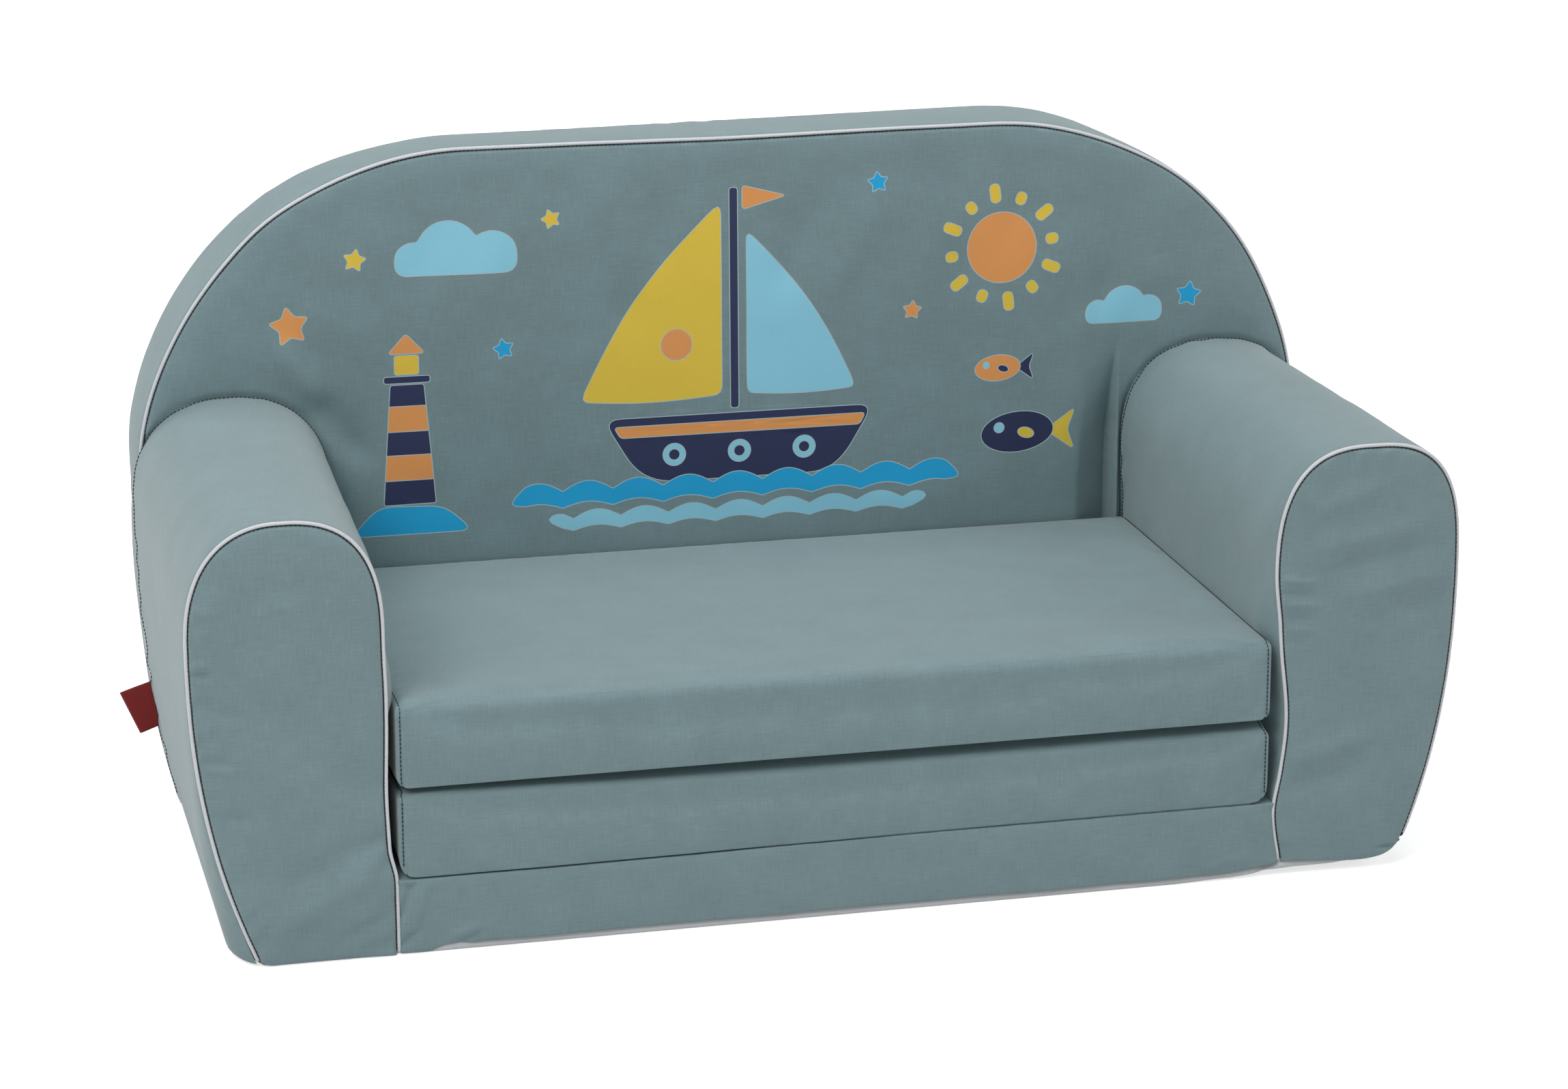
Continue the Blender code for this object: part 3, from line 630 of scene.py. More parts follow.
def arch_shift(x, z, depth):
    """How far the stuffed arch stands out from its plain arcs, with depth 0 at its front seam and 1 at the rear."""
    beside, above = smooth(0.16, 0.22, np.abs(x)), 1 - smooth(0.20, 0.27, np.abs(x))
    front = 1.8 * bump(z, 0.250, 0.045) + 1.5 * bump(z, 0.377, 0.018)
    front = front * beside - 1.2 * bump(x, 0, 0.085)
    rear = 4.2 * smooth(0.190, 0.250, z) * (1 - smooth(0.345, 0.405, z)) * beside
    rear += 1.6 * x / 0.17 * above - 1.6 * bump(z, 0.105, 0.045)
    right_shoulder = 2.8 * bump(z, 0.342, 0.040) * smooth(0.16, 0.22, x)
    front, rear = front + right_shoulder, rear + 0.6 * right_shoulder
    rear += 2.8 * bump(z, 0.388, 0.024) * smooth(0.12, 0.20, -x)
    return (front + (rear - front) * depth) * MM


def back_outline(inset, foot, depth=0.0):
    """The arch at a depth, from its right foot over the top to its left foot."""
    lean = asin((HEIGHT - BACK_CORNER_RADIUS - BACK_BELLY_HEIGHT) / (BACK_SIDE_RADIUS - BACK_CORNER_RADIUS))
    side_x = BACK_HALF_WIDTH - BACK_SIDE_RADIUS
    side_radius, corner_radius = BACK_SIDE_RADIUS - inset, BACK_CORNER_RADIUS - inset
    sides = np.linspace(-asin((BACK_BELLY_HEIGHT - foot) / side_radius), lean, ARC_POINTS)
    corners = np.linspace(lean, pi / 2, ARC_POINTS)[1:]
    corner_x = side_x + (BACK_SIDE_RADIUS - BACK_CORNER_RADIUS) * cos(lean)
    corner_z = HEIGHT - BACK_CORNER_RADIUS
    top = np.linspace(corner_x, 0, 30)[1:]
    right = np.vstack(
        [
            np.column_stack([side_x + side_radius * np.cos(sides), BACK_BELLY_HEIGHT + side_radius * np.sin(sides)]),
            np.column_stack([corner_x + corner_radius * np.cos(corners), corner_z + corner_radius * np.sin(corners)]),
            np.column_stack([top, np.full(len(top), HEIGHT - inset)]),
        ]
    )
    angles = np.concatenate([sides, corners, np.full(len(top), pi / 2)])
    outward = np.column_stack([np.cos(angles), np.sin(angles)])
    outline, outward = (np.vstack([half, half[-2::-1] * (-1, 1)]) for half in (right, outward))
    return outline + outward * arch_shift(outline[:, 0], outline[:, 1], depth)[:, None]


# The arms' sections at the front seam, left and right, and at the rear seam: inner side, outer side, top,
# height of the cap, and the powers of the cap's inner and outer curve
ARM_FRONT_SECTIONS = {
    -1: (0.2704, 0.3852, 0.2675, 0.0725, 2.6, 2.35),
    1: (0.2675, 0.3852, 0.2706, 0.0786, 2.64, 2.90),
}
ARM_REAR_SECTION = (0.2630, 0.3857, 0.2680, 0.0630, 2.35, 2.35)

# The front seam's inner line below the cap, left and right: its place, its bow beside the cushions with
# the bow's height and reach, how far it is drawn in beside the base, and how far it runs out at the foot
ARM_INNER_LINES = {
    -1: (0.2698, 1.3 * MM, 0.100, 0.030, 3.5 * MM, 0.0),
    1: (0.2699, 6.4 * MM, 0.100, 0.042, 1.3 * MM, 6.2 * MM),
}
ARM_FRONT_TUCK_REACH = {-1: 0.024, 1: 0.070}
FOOT_CURL = {-1: 6 * MM, 1: 11 * MM}


def arm_inner_line(side, y, z):
    """How far out an arm's inner side lies, at a depth and at heights up to its cap."""
    place, bow, bow_height, bow_reach, kink, foot_out = ARM_INNER_LINES[side]
    front = place + bow * bump(z, bow_height, bow_reach)
    front = front - kink * (1 - smooth(0.045, 0.067, z)) + foot_out * (1 - smooth(0, 0.045, z))
    front = front + (ARM_FRONT_SECTIONS[side][0] - place) * smooth(0.158, 0.195, z)
    rear = ARM_REAR_SECTION[0] + 1.5 * MM * (1 - smooth(0.150, 0.195, z)) + 2.3 * MM * (1 - smooth(0.136, 0.151, z))
    behind = y - FRONT_Y
    evenly = np.clip(behind / (ARM_REAR_Y - FRONT_Y), 0, 1)
    soon = smooth(0, 45 * MM - 22 * MM * smooth(0.135, 0.152, z), behind)
    share = soon + (evenly - soon) * smooth(0.155, 0.195, z)
    return front + (rear - front) * share


def arm_outline(side, y, inset=0.0, foot=FOOT):
    """An arm's section at a depth, drawn on the right, from its inner foot over the top to its outer foot."""
    evenly = float(np.clip((y - FRONT_Y) / (ARM_REAR_Y - FRONT_Y), 0, 1))
    inner_x, outer_x, top, cap_height, inner_power, outer_power = (
        front + (rear - front) * evenly for front, rear in zip(ARM_FRONT_SECTIONS[side], ARM_REAR_SECTION)
    )
    widest = top - cap_height
    rise = np.linspace(foot, widest, 90)
    inner = np.column_stack([arm_inner_line(side, y, rise) + inset, rise])
    angles = np.linspace(0, pi, 161)[1:-1]
    way, turn = np.cos(angles), np.sin(angles)
    powers = 2 / np.where(way > 0, inner_power, outer_power)
    middle, half_width = (inner_x + outer_x) / 2, (outer_x - inner_x) / 2 - inset
    across = middle - half_width * np.sign(way) * np.abs(way) ** powers
    cap = np.column_stack([across, widest + (cap_height - inset) * turn**powers])
    fall = rise[::-1]
    drawn = max(1 - max(y - FRONT_Y - 1.5 * MM, 0) / ARM_FRONT_TUCK_REACH[side], 0) ** 2
    tuck, tuck_power = (rear + (front - rear) * drawn for front, rear in (ARM_TUCK, ARM_TUCK_POWER))
    drawn_in = tuck * ((widest - fall) / widest) ** tuck_power
    low = np.clip(1 - (fall - foot) / FOOT_CURL[side], 0, 1)
    curl = FOOT_CURL[side] * (1 - np.sqrt(1 - low**2)) * 0.5 * (1 - drawn)
    outer = np.column_stack([outer_x - inset - drawn_in - curl, fall])
    return np.vstack([inner, cap, outer])


def cloth_foot(x):
    """How high the covers' lower edge lies above the floor at the front, over the pale cloth."""
    rise = -1.0 + 4.0 * smooth(-0.250, -0.238, x) + 4.6 * smooth(0.225, 0.285, x) - 2.7 * smooth(0.285, 0.325, x)
    waves = 0.30 * noise(x, 0 * x, 23 * MM, 41) + 0.15 * noise(x, 0 * x, 7 * MM, 42)
    return FOOT + (rise + waves * smooth(-0.26, -0.22, x)) * MM


def arm_hem(side, x):
    """The height of an arm's front hem. The right arm's outer corner is rounded up off the floor."""
    if side > 0:
        return cloth_foot(x) + 13 * MM * np.clip((x - 0.3255) / 0.031, 0, 1.2) ** 3.2
    return cloth_foot(x) + 2.5 * MM * np.clip((-x - 0.340) / 0.009, 0, 1) ** 2


# Backrest

# How far inside a panel's edge the rows of points lie that shape its rounding
EDGE_ROWS = (0.5 * MM, 1.2 * MM, 2.4 * MM)


def back_front_surface(points):
    """The depth of the backrest's front at X and Z points: its belly, seams, folds and puckers."""
    x, z = points[:, 0], points[:, 1]
    to_edge, edge_place = nearest_on(back_outline(PANEL_INSET, FOOT), points)
    mirrored = np.column_stack([np.abs(x), z])
    arm = even(arm_outline(1, ARM_REAR_Y), 3 * MM)
    to_arm, arm_place = nearest_on(arm, mirrored)
    behind_arm = inside(arm, mirrored)
    to_arm[behind_arm] *= -1
    side_seed = np.where(x > 0, 1, -1)
    free = np.minimum(np.minimum(to_edge, np.maximum(to_arm, 0)), np.maximum(z - 0.148, 0))
    open_share = 1 - np.exp(-free / (16 * MM))
    belly = 3.0 * MM * (1 - np.exp(-free / (45 * MM)))
    dip = rolled_edge(to_edge) + 2.0 * MM * bump(to_arm, 0, 1.9 * MM) + side_valley(x, z)
    soft = 0.55 * MM * noise(x, z, 75 * MM, 11) + 0.25 * MM * noise(x + z * 0.4, z, 28 * MM, 12)
    soft += 0.05 * MM * noise(x, z, 9 * MM, 13)
    soft = with_folds(soft, x, z, BACK_FOLDS) * open_share
    soft = with_folds(soft, x, z, ARM_SIDE_FOLDS) * smooth(-1 * MM, 1.5 * MM, to_arm)
    roll = 0.45 * MM * bump(to_edge, 12 * MM, 5 * MM)
    roll = roll * (0.6 + 0.4 * noise(edge_place, 0 * x, 50 * MM, 14))
    small = 0.45 * MM * puckers(edge_place, to_edge, 21, 9, 10, 0.3)
    beside = np.maximum(to_arm, 0)
    small += 1.0 * MM * puckers(arm_place * side_seed, beside, 22, 8, 12, 0.45) * (to_arm > 0)
    return BACK_FRONT_Y - belly - soft - roll * open_share - small + dip


VALLEY_LEFT, VALLEY_WALL, VALLEY_DEPTH = 0.2318, 0.2568, 20.0 * MM


def side_valley(x, z):
    """How deep the front is drawn in beside the right arm: a slope that ends in a steep wall near the seam."""
    left = VALLEY_LEFT + 7 * MM * smooth(0.17, 0.30, z)
    slope = np.clip((x - left) / (VALLEY_WALL - left), 0, 1) ** 1.1
    wall = 1 - smooth(VALLEY_WALL, VALLEY_WALL + 2.6 * MM, x)
    ridges = 0.9 * bump(x, 0.2602, 0.8 * MM) + 0.6 * bump(x, 0.2625, 0.7 * MM)
    height = (1 - smooth(0.195, 0.282, z)) ** 1.2
    turned = 2.4 * MM * np.clip((x - 0.2592) / 0.0042, 0, 1) * (x < ARM_INNER_X)
    return (VALLEY_DEPTH * slope * wall + turned - ridges * MM) * height


# Ridges and dents in the backrest's front: start, end, and width and height in millimetres
BACK_FOLDS = (
    ((0.212, 0.290), (0.190, 0.090), 12, -0.9),
    ((0.110, 0.405), (0.050, 0.290), 13, 1.5),
    ((0.070, 0.405), (0.020, 0.300), 11, -1.3),
    ((0.165, 0.400), (0.120, 0.300), 12, 1.1),
    ((0.205, 0.395), (0.170, 0.320), 10, -0.9),
    ((-0.090, 0.405), (-0.050, 0.300), 14, 1.3),
    ((-0.035, 0.402), (-0.075, 0.290), 12, -1.2),
    ((-0.130, 0.400), (-0.185, 0.290), 15, 1.2),
    ((-0.175, 0.390), (-0.225, 0.310), 12, -0.9),
    ((-0.300, 0.330), (-0.220, 0.290), 13, 0.9),
    ((-0.262, 0.262), (-0.215, 0.170), 12, 0.9),
    ((0.300, 0.330), (0.225, 0.270), 14, 0.9),
    ((-0.140, 0.205), (-0.030, 0.165), 15, -0.6),
    ((0.020, 0.190), (0.160, 0.168), 12, 0.6),
)

# Folds that run up from the seat beside the arms, and the ridge and dent at the left arm's shoulder
ARM_SIDE_FOLDS = (
    ((0.2360, 0.310), (0.2250, 0.200), 9.0, 1.3),
    ((0.2480, 0.330), (0.2380, 0.250), 8.0, -1.5),
    ((-0.300, 0.312), (-0.262, 0.250), 10, 3.0),
    ((-0.280, 0.275), (-0.232, 0.212), 11, -4.2),
    ((-0.262, 0.230), (-0.250, 0.110), 6, -2.2),
)


def place_back_front(points):
    """Flat X and Z points of the front cloth as points in the room."""
    return upright(points, back_front_surface(points))


def make_backrest(finish):
    """The printed front, the rim, the rear with its zip slot, the piping and the stitching."""
    outline = even(back_outline(PANEL_INSET, FOOT), 2 * MM)
    rows = [even(back_outline(PANEL_INSET + away, FOOT + away), 2 * MM) for away in EDGE_ROWS]
    rows += [even([(x, 0.095), (x, 0.285)], 2.2 * MM) for x in np.arange(VALLEY_LEFT + 9 * MM, 0.2655, 0.8 * MM)]
    names, shapes = print_shapes()
    slots = ["cover", *PRINTS]
    owners = [0] + [slots.index(name) for name in names]
    front = panel("backrest_front", outline, PANEL_STEP, place_back_front, shapes, owners, rows)
    finished(front, [finish[name] for name in slots], "sofa", ["back_front_panel", "back_foam"])

    make_back_rim(finish)
    make_back_rear(finish)
    make_back_piping(finish)


def make_back_rim(finish):
    """The band round the arch, a little crowned between its two seams."""
    front, rear = (resampled(back_outline(0, FOOT, depth), RIM_COLUMNS) for depth in (0, 1))
    outward = normals_along(front)
    depths = graded(BACK_FRONT_Y + 2.9 * MM, REAR_Y - 0.4 * MM, FINE_STEP, COARSE_STEP)
    share = ((depths - BACK_FRONT_Y) / (REAR_Y - BACK_FRONT_Y))[None, :, None]
    rim = front[:, None] + (rear - front)[:, None] * share
    places, ys = np.meshgrid(lengths_along(front), depths, indexing="ij")
    from_front, from_rear = ys - depths[0], depths[-1] - ys
    between = np.minimum(from_front, from_rear)
    crown = 0.5 * MM * smooth(0, 20 * MM, between)
    crown -= seam_dip(from_front, 0.9 * MM, 4 * MM) + seam_dip(from_rear, 1.4 * MM, 2.5 * MM)
    crown += waves(places, ys, 31, (0.25, 60), (0.04, 12)) * smooth(0, 9 * MM, between)
    crown += 0.25 * MM * puckers(places, from_front, 33, 8, 8, 0.2)
    crown += 0.30 * MM * puckers(places, from_rear, 34, 8, 9, 0.4)
    shifted = rim + outward[:, None] * crown[..., None]
    points = np.stack([shifted[..., 0], ys, shifted[..., 1]], axis=2)
    made = grid("backrest_rim", points, np.stack([places, ys], axis=2), flip=True)
    covered(made, finish, "back_gusset")


def back_rear_surface(points):
    """The depth of the backrest's rear cloth at X and Z points."""
    x, z = points[:, 0], points[:, 1]
    to_edge, place = nearest_on(back_outline(0, FOOT, 1), points)
    zip_low, zip_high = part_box("zip_tape_lower")[0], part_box("zip_tape_upper")[1]
    to_slot = np.maximum(np.maximum(zip_low.z - z, z - zip_high.z), np.abs(x) - zip_high.x)
    to_slot = np.maximum(to_slot, 0)
    free = np.minimum(to_edge, to_slot)
    belly = 2.2 * MM * (1 - np.exp(-free / (40 * MM)))
    soft = waves(x, z, 51, (0.6, 85), (0.2, 26))
    small = 0.45 * MM * puckers(place, to_edge, 53, 9, 11, 0.35)
    small += 0.5 * MM * puckers(x, to_slot, 54, 7, 8, 0.6) * (np.abs(x) < zip_high.x)
    share = 1 - np.exp(-free / (14 * MM))
    return REAR_Y + belly + (soft + small) * share - seam_dip(to_edge, 1.6 * MM, 6 * MM)


def make_back_rear(finish):
    """The rear cloth around its zip slot, and its stitching."""
    low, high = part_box("zip_tape_lower")[0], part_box("zip_tape_upper")[1]
    lap = 1.6 * MM
    slot_x, low_z, high_z = high.x - 2 * MM, low.z + lap, high.z - lap
    outline = even(back_outline(1.4 * MM, FOOT, 1), 3 * MM)
    corners = [(-slot_x, low_z), (slot_x, low_z), (slot_x, high_z), (-slot_x, high_z), (-slot_x, low_z)]
    slot = even(corners, 3 * MM)[:-1]

    def place(points):
        return upright(points, back_rear_surface(points))

    flat, faces, owners = flat_net(outline, PANEL_STEP * 1.5, [slot])
    faces = [face[::-1] for face, owner in zip(faces, owners) if owner == 0]
    used = sorted({corner for face in faces for corner in face})
    renumbered = {old: new for new, old in enumerate(used)}
    flat = flat[used]
    faces = [[renumbered[corner] for corner in face] for face in faces]
    uvs = [flat[corner] for face in faces for corner in face]
    made = new_mesh("backrest_rear", place(flat), faces, uvs)
    thicken(made)
    covered(made, finish, "back_rear_panel")

    seam = even(back_outline(3.6 * MM, 6 * MM, 1), 3 * MM)
    inner_slot = [(-slot_x - 2 * MM, low_z - 2 * MM), (slot_x + 2 * MM, low_z - 2 * MM)]
    outer_slot = [(-slot_x - 2 * MM, high_z + 2 * MM), (slot_x + 2 * MM, high_z + 2 * MM)]
    lines = []
    for line in (seam, even(inner_slot, 3 * MM), even(outer_slot, 3 * MM)):
        path = place(np.asarray(line)) + (0, STITCH_LIFT, 0)
        lines.append(level_line(path, 1))
    stitches("backrest_rear_stitches", lines, finish["thread_and_seam_shade"], "sofa")


def piping(name, outline, y, side, finish, seed):
    """Piping along an outline of X and Z points, with the seam allowance's folds round its cord."""
    path = even(outline, 1.4 * MM)
    along = lengths_along(path)
    sway = 0.08 * MM * noise(along, 0 * along, 30 * MM, seed)
    outward = normals_along(path) * side
    path = path + outward * sway[:, None]
    ends = 0.5 * MM * (1 - smooth(0, 4 * MM, np.minimum(along, along[-1] - along)))
    drawn_back = 0.9 * MM * np.maximum(outward[:, 0], 0) * smooth(0, 0.25, path[:, 0])
    points = np.column_stack([path[:, 0], y + 0.5 * sway + ends + drawn_back, path[:, 1]])
    across = np.column_stack([outward[:, 0], 0 * along, outward[:, 1]])
    turns = np.arange(TUBE_SIDES)[None] * 0.9 * MM
    creases = 0.04 * MM * noise(along[:, None] + turns, turns + 0 * along[:, None], 2.4 * MM, seed + 1)
    made = tube(name, points, TUBE_SIDES, across, PIPING_RADIUS + creases)
    return finished(made, finish["piping"], "sofa")


def make_back_piping(finish):
    """The arch's piping, and the dark line of stitches on its inner side, which also paints the seam's shade."""
    outline = back_outline(PIPING_INSET, FOOT + PIPING_RADIUS)
    made = piping("backrest_piping", outline, BACK_FRONT_Y + PIPING_BACK, 1, finish, 61)
    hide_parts("back_piping")
    seam = even(back_outline(PANEL_INSET - 0.1 * MM, FOOT + 2 * MM), 2 * MM)
    lines = [level_line(upright(seam, BACK_FRONT_Y + STITCH_BACK), -1)]
    stitches("backrest_stitches", lines, finish["thread_and_seam_shade"], "sofa")


# The printed design: a sailing boat with sun, clouds, a lighthouse, fish and stars


def circle(x, z, radius, count=48):
    """A round outline."""
    return ellipse(x, z, radius, radius, count=count)


def ellipse(x, z, wide, high, tilt=0.0, count=48):
    """An oval outline of half widths wide and high."""
    angles = np.linspace(0, 2 * pi, count, endpoint=False)
    across, up = wide * np.cos(angles), high * np.sin(angles)
    return np.column_stack([x + across * cos(tilt) - up * sin(tilt), z + across * sin(tilt) + up * cos(tilt)])


def rounded(corners, radius, steps=6):
    """A closed outline through corners, each one rounded by an arc-like curve."""
    corners = np.asarray(corners, float)
    before, after = np.roll(corners, 1, axis=0), np.roll(corners, -1, axis=0)
    outline = []
    for corner, left, right in zip(corners, before, after):
        to_left, to_right = left - corner, right - corner
        reach_left = min(radius, np.linalg.norm(to_left) / 2)
        reach_right = min(radius, np.linalg.norm(to_right) / 2)
        start = corner + to_left / np.linalg.norm(to_left) * reach_left
        end = corner + to_right / np.linalg.norm(to_right) * reach_right
        for share in np.linspace(0, 1, steps):
            outline.append((1 - share) ** 2 * start + 2 * share * (1 - share) * corner + share**2 * end)
    outline = np.array(outline)
    step = np.linalg.norm(outline - np.roll(outline, 1, axis=0), axis=1)
    return outline[step > 0.05 * MM]


def star(x, z, radius, tilt=0.0, points=5, inner=0.52):
    """A star with soft tips."""
    angles = tilt + pi / 2 + np.arange(2 * points) * pi / points
    sizes = np.where(np.arange(2 * points) % 2 == 0, radius, radius * inner)
    return rounded(np.column_stack([x + sizes * np.cos(angles), z + sizes * np.sin(angles)]), radius * 0.16)


def ray(x, z, angle, near, far, width):
    """A short bar with round ends that points away from a centre."""
    way = np.array([cos(angle), sin(angle)])
    side = np.array([-way[1], way[0]]) * width / 2
    centre = np.array([x, z])
    start, end = centre + way * near, centre + way * far
    return rounded([start - side, end - side, end + side, start + side], width / 2)


def cloud(x, z, bumps):
    """A cloud with a flat foot, under bumps given as place, height and radius."""
    low = min(place - radius for place, _, radius in bumps)
    high = max(place + radius for place, _, radius in bumps)
    across = np.linspace(low, high, 90)
    tops = [rise + np.sqrt(np.maximum(radius**2 - (across - place) ** 2, 0)) for place, rise, radius in bumps]
    within = [np.abs(across - place) <= radius for place, _, radius in bumps]
    top = np.max([np.where(mask, height, 0) for mask, height in zip(within, tops)], axis=0)
    foot = min(rise for _, rise, _ in bumps)
    past = np.maximum(np.abs(across - (low + high) / 2) - (high - low) / 2 + foot, 0)
    hem = foot - np.sqrt(np.maximum(foot**2 - past**2, 0))
    upper = np.column_stack([x + across, z + np.maximum(top, hem + 0.2 * MM)])[::-1]
    lower = np.column_stack([x + across, z + hem])
    return rounded_ends(np.vstack([upper[:-1], lower[:-1]]), 3)


def wave_band(left, right, low, high, count, height, shift=0.0):
    """A strip of water with scalloped crests and round ends."""
    across = np.linspace(left, right, 24 * count)
    turn = (across - left) / (right - left) * count + shift
    crest = high + height * (np.abs(np.sin(pi * turn)) - 1)
    trough = low + height * 0.55 * (np.abs(np.sin(pi * turn)) - 1)
    taper = np.minimum(1, np.minimum(across - left, right - across) / (9 * MM)) ** 0.5
    middle = (crest + trough) / 2
    upper = np.column_stack([across, middle + (crest - middle) * taper])
    lower = np.column_stack([across, middle + (trough - middle) * taper])
    return np.vstack([lower[:-1], upper[::-1][:-1]])


def sail(foot, peak, clew, belly):
    """A sail with a straight luff, a curved leech that is full by belly, and a slightly curved foot."""
    foot, peak, clew = (np.array(point, float) for point in (foot, peak, clew))
    shares = np.linspace(0, 1, 30)[:, None]
    leech = peak + (clew - peak) * shares
    way = clew - peak
    out = np.array([way[1], -way[0]]) / np.linalg.norm(way)
    if out @ (clew - foot) < 0:
        out = -out
    leech = leech + out * belly * np.sin(pi * shares)
    hem = clew + (foot - clew) * shares[1:] - np.array([0, belly * 0.3]) * np.sin(pi * shares[1:])
    luff = foot + (peak - foot) * shares[1:-1]
    return rounded_ends(np.vstack([leech, hem, luff]))


def rounded_ends(outline, rounds=2):
    """The outline with its sharp corners taken off a little."""
    for _ in range(rounds):
        outline = (np.roll(outline, 1, axis=0) + 2 * outline + np.roll(outline, -1, axis=0)) / 4
    return outline


def widened(outline, by):
    """The outline moved out by a distance."""
    outline = leftward(outline)
    closed = np.vstack([outline[-1:], outline, outline[:1]])
    tangent = closed[2:] - closed[:-2]
    tangent /= np.maximum(np.linalg.norm(tangent, axis=1), 1e-12)[:, None]
    return outline + np.column_stack([tangent[:, 1], -tangent[:, 0]]) * by


PRINT_EDGE_WIDTH = 0.55 * MM
SUN = (0.178, 0.338)
PORTHOLES, PORTHOLE_Z = (-0.040, 0.003, 0.046), 0.2135


def motifs():
    """The design's shapes, each with its colour, from the lowest to the topmost."""
    drawn = []

    def draw(colour, outline):
        drawn.append((colour, np.asarray(outline)))

    # Boat
    hull = [(-0.086, 0.239), (0.092, 0.239), (0.072, 0.205), (0.058, 0.196), (-0.050, 0.196), (-0.066, 0.205)]
    draw("navy", rounded(hull, 11 * MM))
    draw("orange", rounded([(-0.079, 0.2335), (0.0865, 0.2335), (0.0830, 0.2265), (-0.0750, 0.2265)], 2.5 * MM))
    for x in PORTHOLES:
        draw("sky", circle(x, PORTHOLE_Z, 7.2 * MM))
        draw("navy", circle(x, PORTHOLE_Z, 3.4 * MM))
    draw("navy", rounded([(-0.0025, 0.2425), (0.0025, 0.2425), (0.0025, 0.386), (-0.0025, 0.386)], 2 * MM))
    draw("yellow", sail((-0.0085, 0.252), (-0.0085, 0.377), (-0.101, 0.252), 9 * MM))
    draw("sky", sail((0.0085, 0.252), (0.0085, 0.358), (0.080, 0.252), 7 * MM))
    draw("orange", circle(-0.038, 0.286, 10 * MM))
    draw("orange", rounded([(0.0060, 0.387), (0.0060, 0.372), (0.034, 0.3795)], 2.5 * MM))

    # Water
    draw("blue", wave_band(-0.146, 0.150, 0.1860, 0.1995, 9, 6.5 * MM))
    draw("sky", wave_band(-0.122, 0.128, 0.1700, 0.1800, 8, 5.5 * MM, shift=0.5))

    # Sun
    draw("orange", circle(*SUN, 23 * MM, 64))
    for k in range(12):
        draw("yellow", ray(*SUN, 2 * pi * k / 12 + 0.13, 30 * MM, (42 if k % 2 else 38) * MM, 6.5 * MM))

    # Clouds
    draw("sky", cloud(-0.176, 0.340, [(-0.030, 0.0085, 0.0125), (-0.008, 0.014, 0.020), (0.020, 0.010, 0.0165)]))
    draw("sky", cloud(0.262, 0.262 + 0.022, [(-0.018, 0.006, 0.009), (0.000, 0.010, 0.014), (0.016, 0.007, 0.010)]))

    # Lighthouse
    base_x, base_z = -0.212, 0.172

    def masonry(colour, corners, radius):
        draw(colour, rounded([(base_x + across, base_z + up) for across, up in corners], radius))

    def storey(colour, foot, head, low, high, radius):
        masonry(colour, [(-foot, low), (foot, low), (head, high), (-head, high)], radius)

    masonry("blue", [(-0.038, 0), (0.040, 0), (0.022, 0.017), (-0.020, 0.019)], 9 * MM)
    storey("navy", 0.0165, 0.0105, 0.020, 0.098, 1.5 * MM)
    for low, high in ((0.036, 0.052), (0.068, 0.084)):
        wide, narrow = (0.0165 - 0.006 * (level - 0.020) / 0.078 for level in (low, high))
        storey("orange", wide, narrow, low, high, 0.8 * MM)
    storey("navy", 0.0145, 0.0145, 0.0995, 0.1035, 1.6 * MM)
    storey("yellow", 0.0075, 0.0075, 0.105, 0.117, 1.5 * MM)
    masonry("orange", [(-0.0115, 0.1185), (0.0115, 0.1185), (0, 0.131)], 2.5 * MM)

    # Fish
    for x, z, size, colour, fin in ((0.190, 0.214, 1.0, "navy", "yellow"), (0.176, 0.258, 0.62, "orange", "navy")):
        tail = [(0.020, 0), (0.039, 0.014), (0.034, 0), (0.039, -0.014)]
        draw(fin, rounded([(x + across * size, z + up * size) for across, up in tail], 3.5 * MM * size))
        draw(colour, ellipse(x, z, 0.0245 * size, 0.0135 * size, 0.06))
        draw("sky", ellipse(x - 0.0125 * size, z + 0.0035 * size, 0.0032 * size, 0.0032 * size))
        draw(fin, ellipse(x + 0.006 * size, z - 0.001 * size, 0.0055 * size, 0.0032 * size, -0.3))

    # Stars
    for x, z, size, tilt, colour in (
        (-0.285, 0.312, 13, 0.15, "orange"),
        (-0.243, 0.352, 7.5, -0.2, "yellow"),
        (-0.118, 0.372, 6.5, 0.3, "yellow"),
        (0.095, 0.385, 7, 0.1, "blue"),
        (0.306, 0.300, 9, -0.15, "blue"),
        (0.118, 0.300, 6.5, -0.1, "orange"),
        (-0.150, 0.290, 7, 0.2, "blue"),
    ):
        draw(colour, star(x, z, size * MM, tilt))
    return drawn


def print_shapes():
    """Colour names and outlines: each motif lies on a slightly wider pale one."""
    names, shapes = [], []
    for colour, outline in motifs():
        names += ["edge", colour]
        shapes += [widened(outline, PRINT_EDGE_WIDTH), outline]
    return names, shapes


# Arms


def make_arm(side, name, finish):
    """One arm: its sleeve, front panel, piping and stitching."""
    make_sleeve(side, name, finish)
    make_arm_front(side, name, finish)
    outline = above_hem(side, arm_outline(side, FRONT_Y, PIPING_INSET) * (side, 1), 0.3 * MM)
    made = piping(f"arm_{name}_piping", outline, FRONT_Y + PIPING_BACK, -side, finish, 63 + side)
    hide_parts(f"arm_piping_{name}")


def above_hem(side, outline, room):
    """The part of an arm's front outline that lies above its hem by some room."""
    return outline[outline[:, 1] > arm_hem(side, outline[:, 0]) + room]


def sleeve_point(side, y):
    """A row of the sleeve: its points in X and Z with their outward normals."""
    foot = FOOT + (17 * MM * (1 - smooth(0, 32 * MM, y - FRONT_Y)) if side > 0 else 0)
    row = resampled(arm_outline(side, y, foot=foot), SLEEVE_COLUMNS)
    return row * (side, 1), -normals_along(row) * (side, 1)


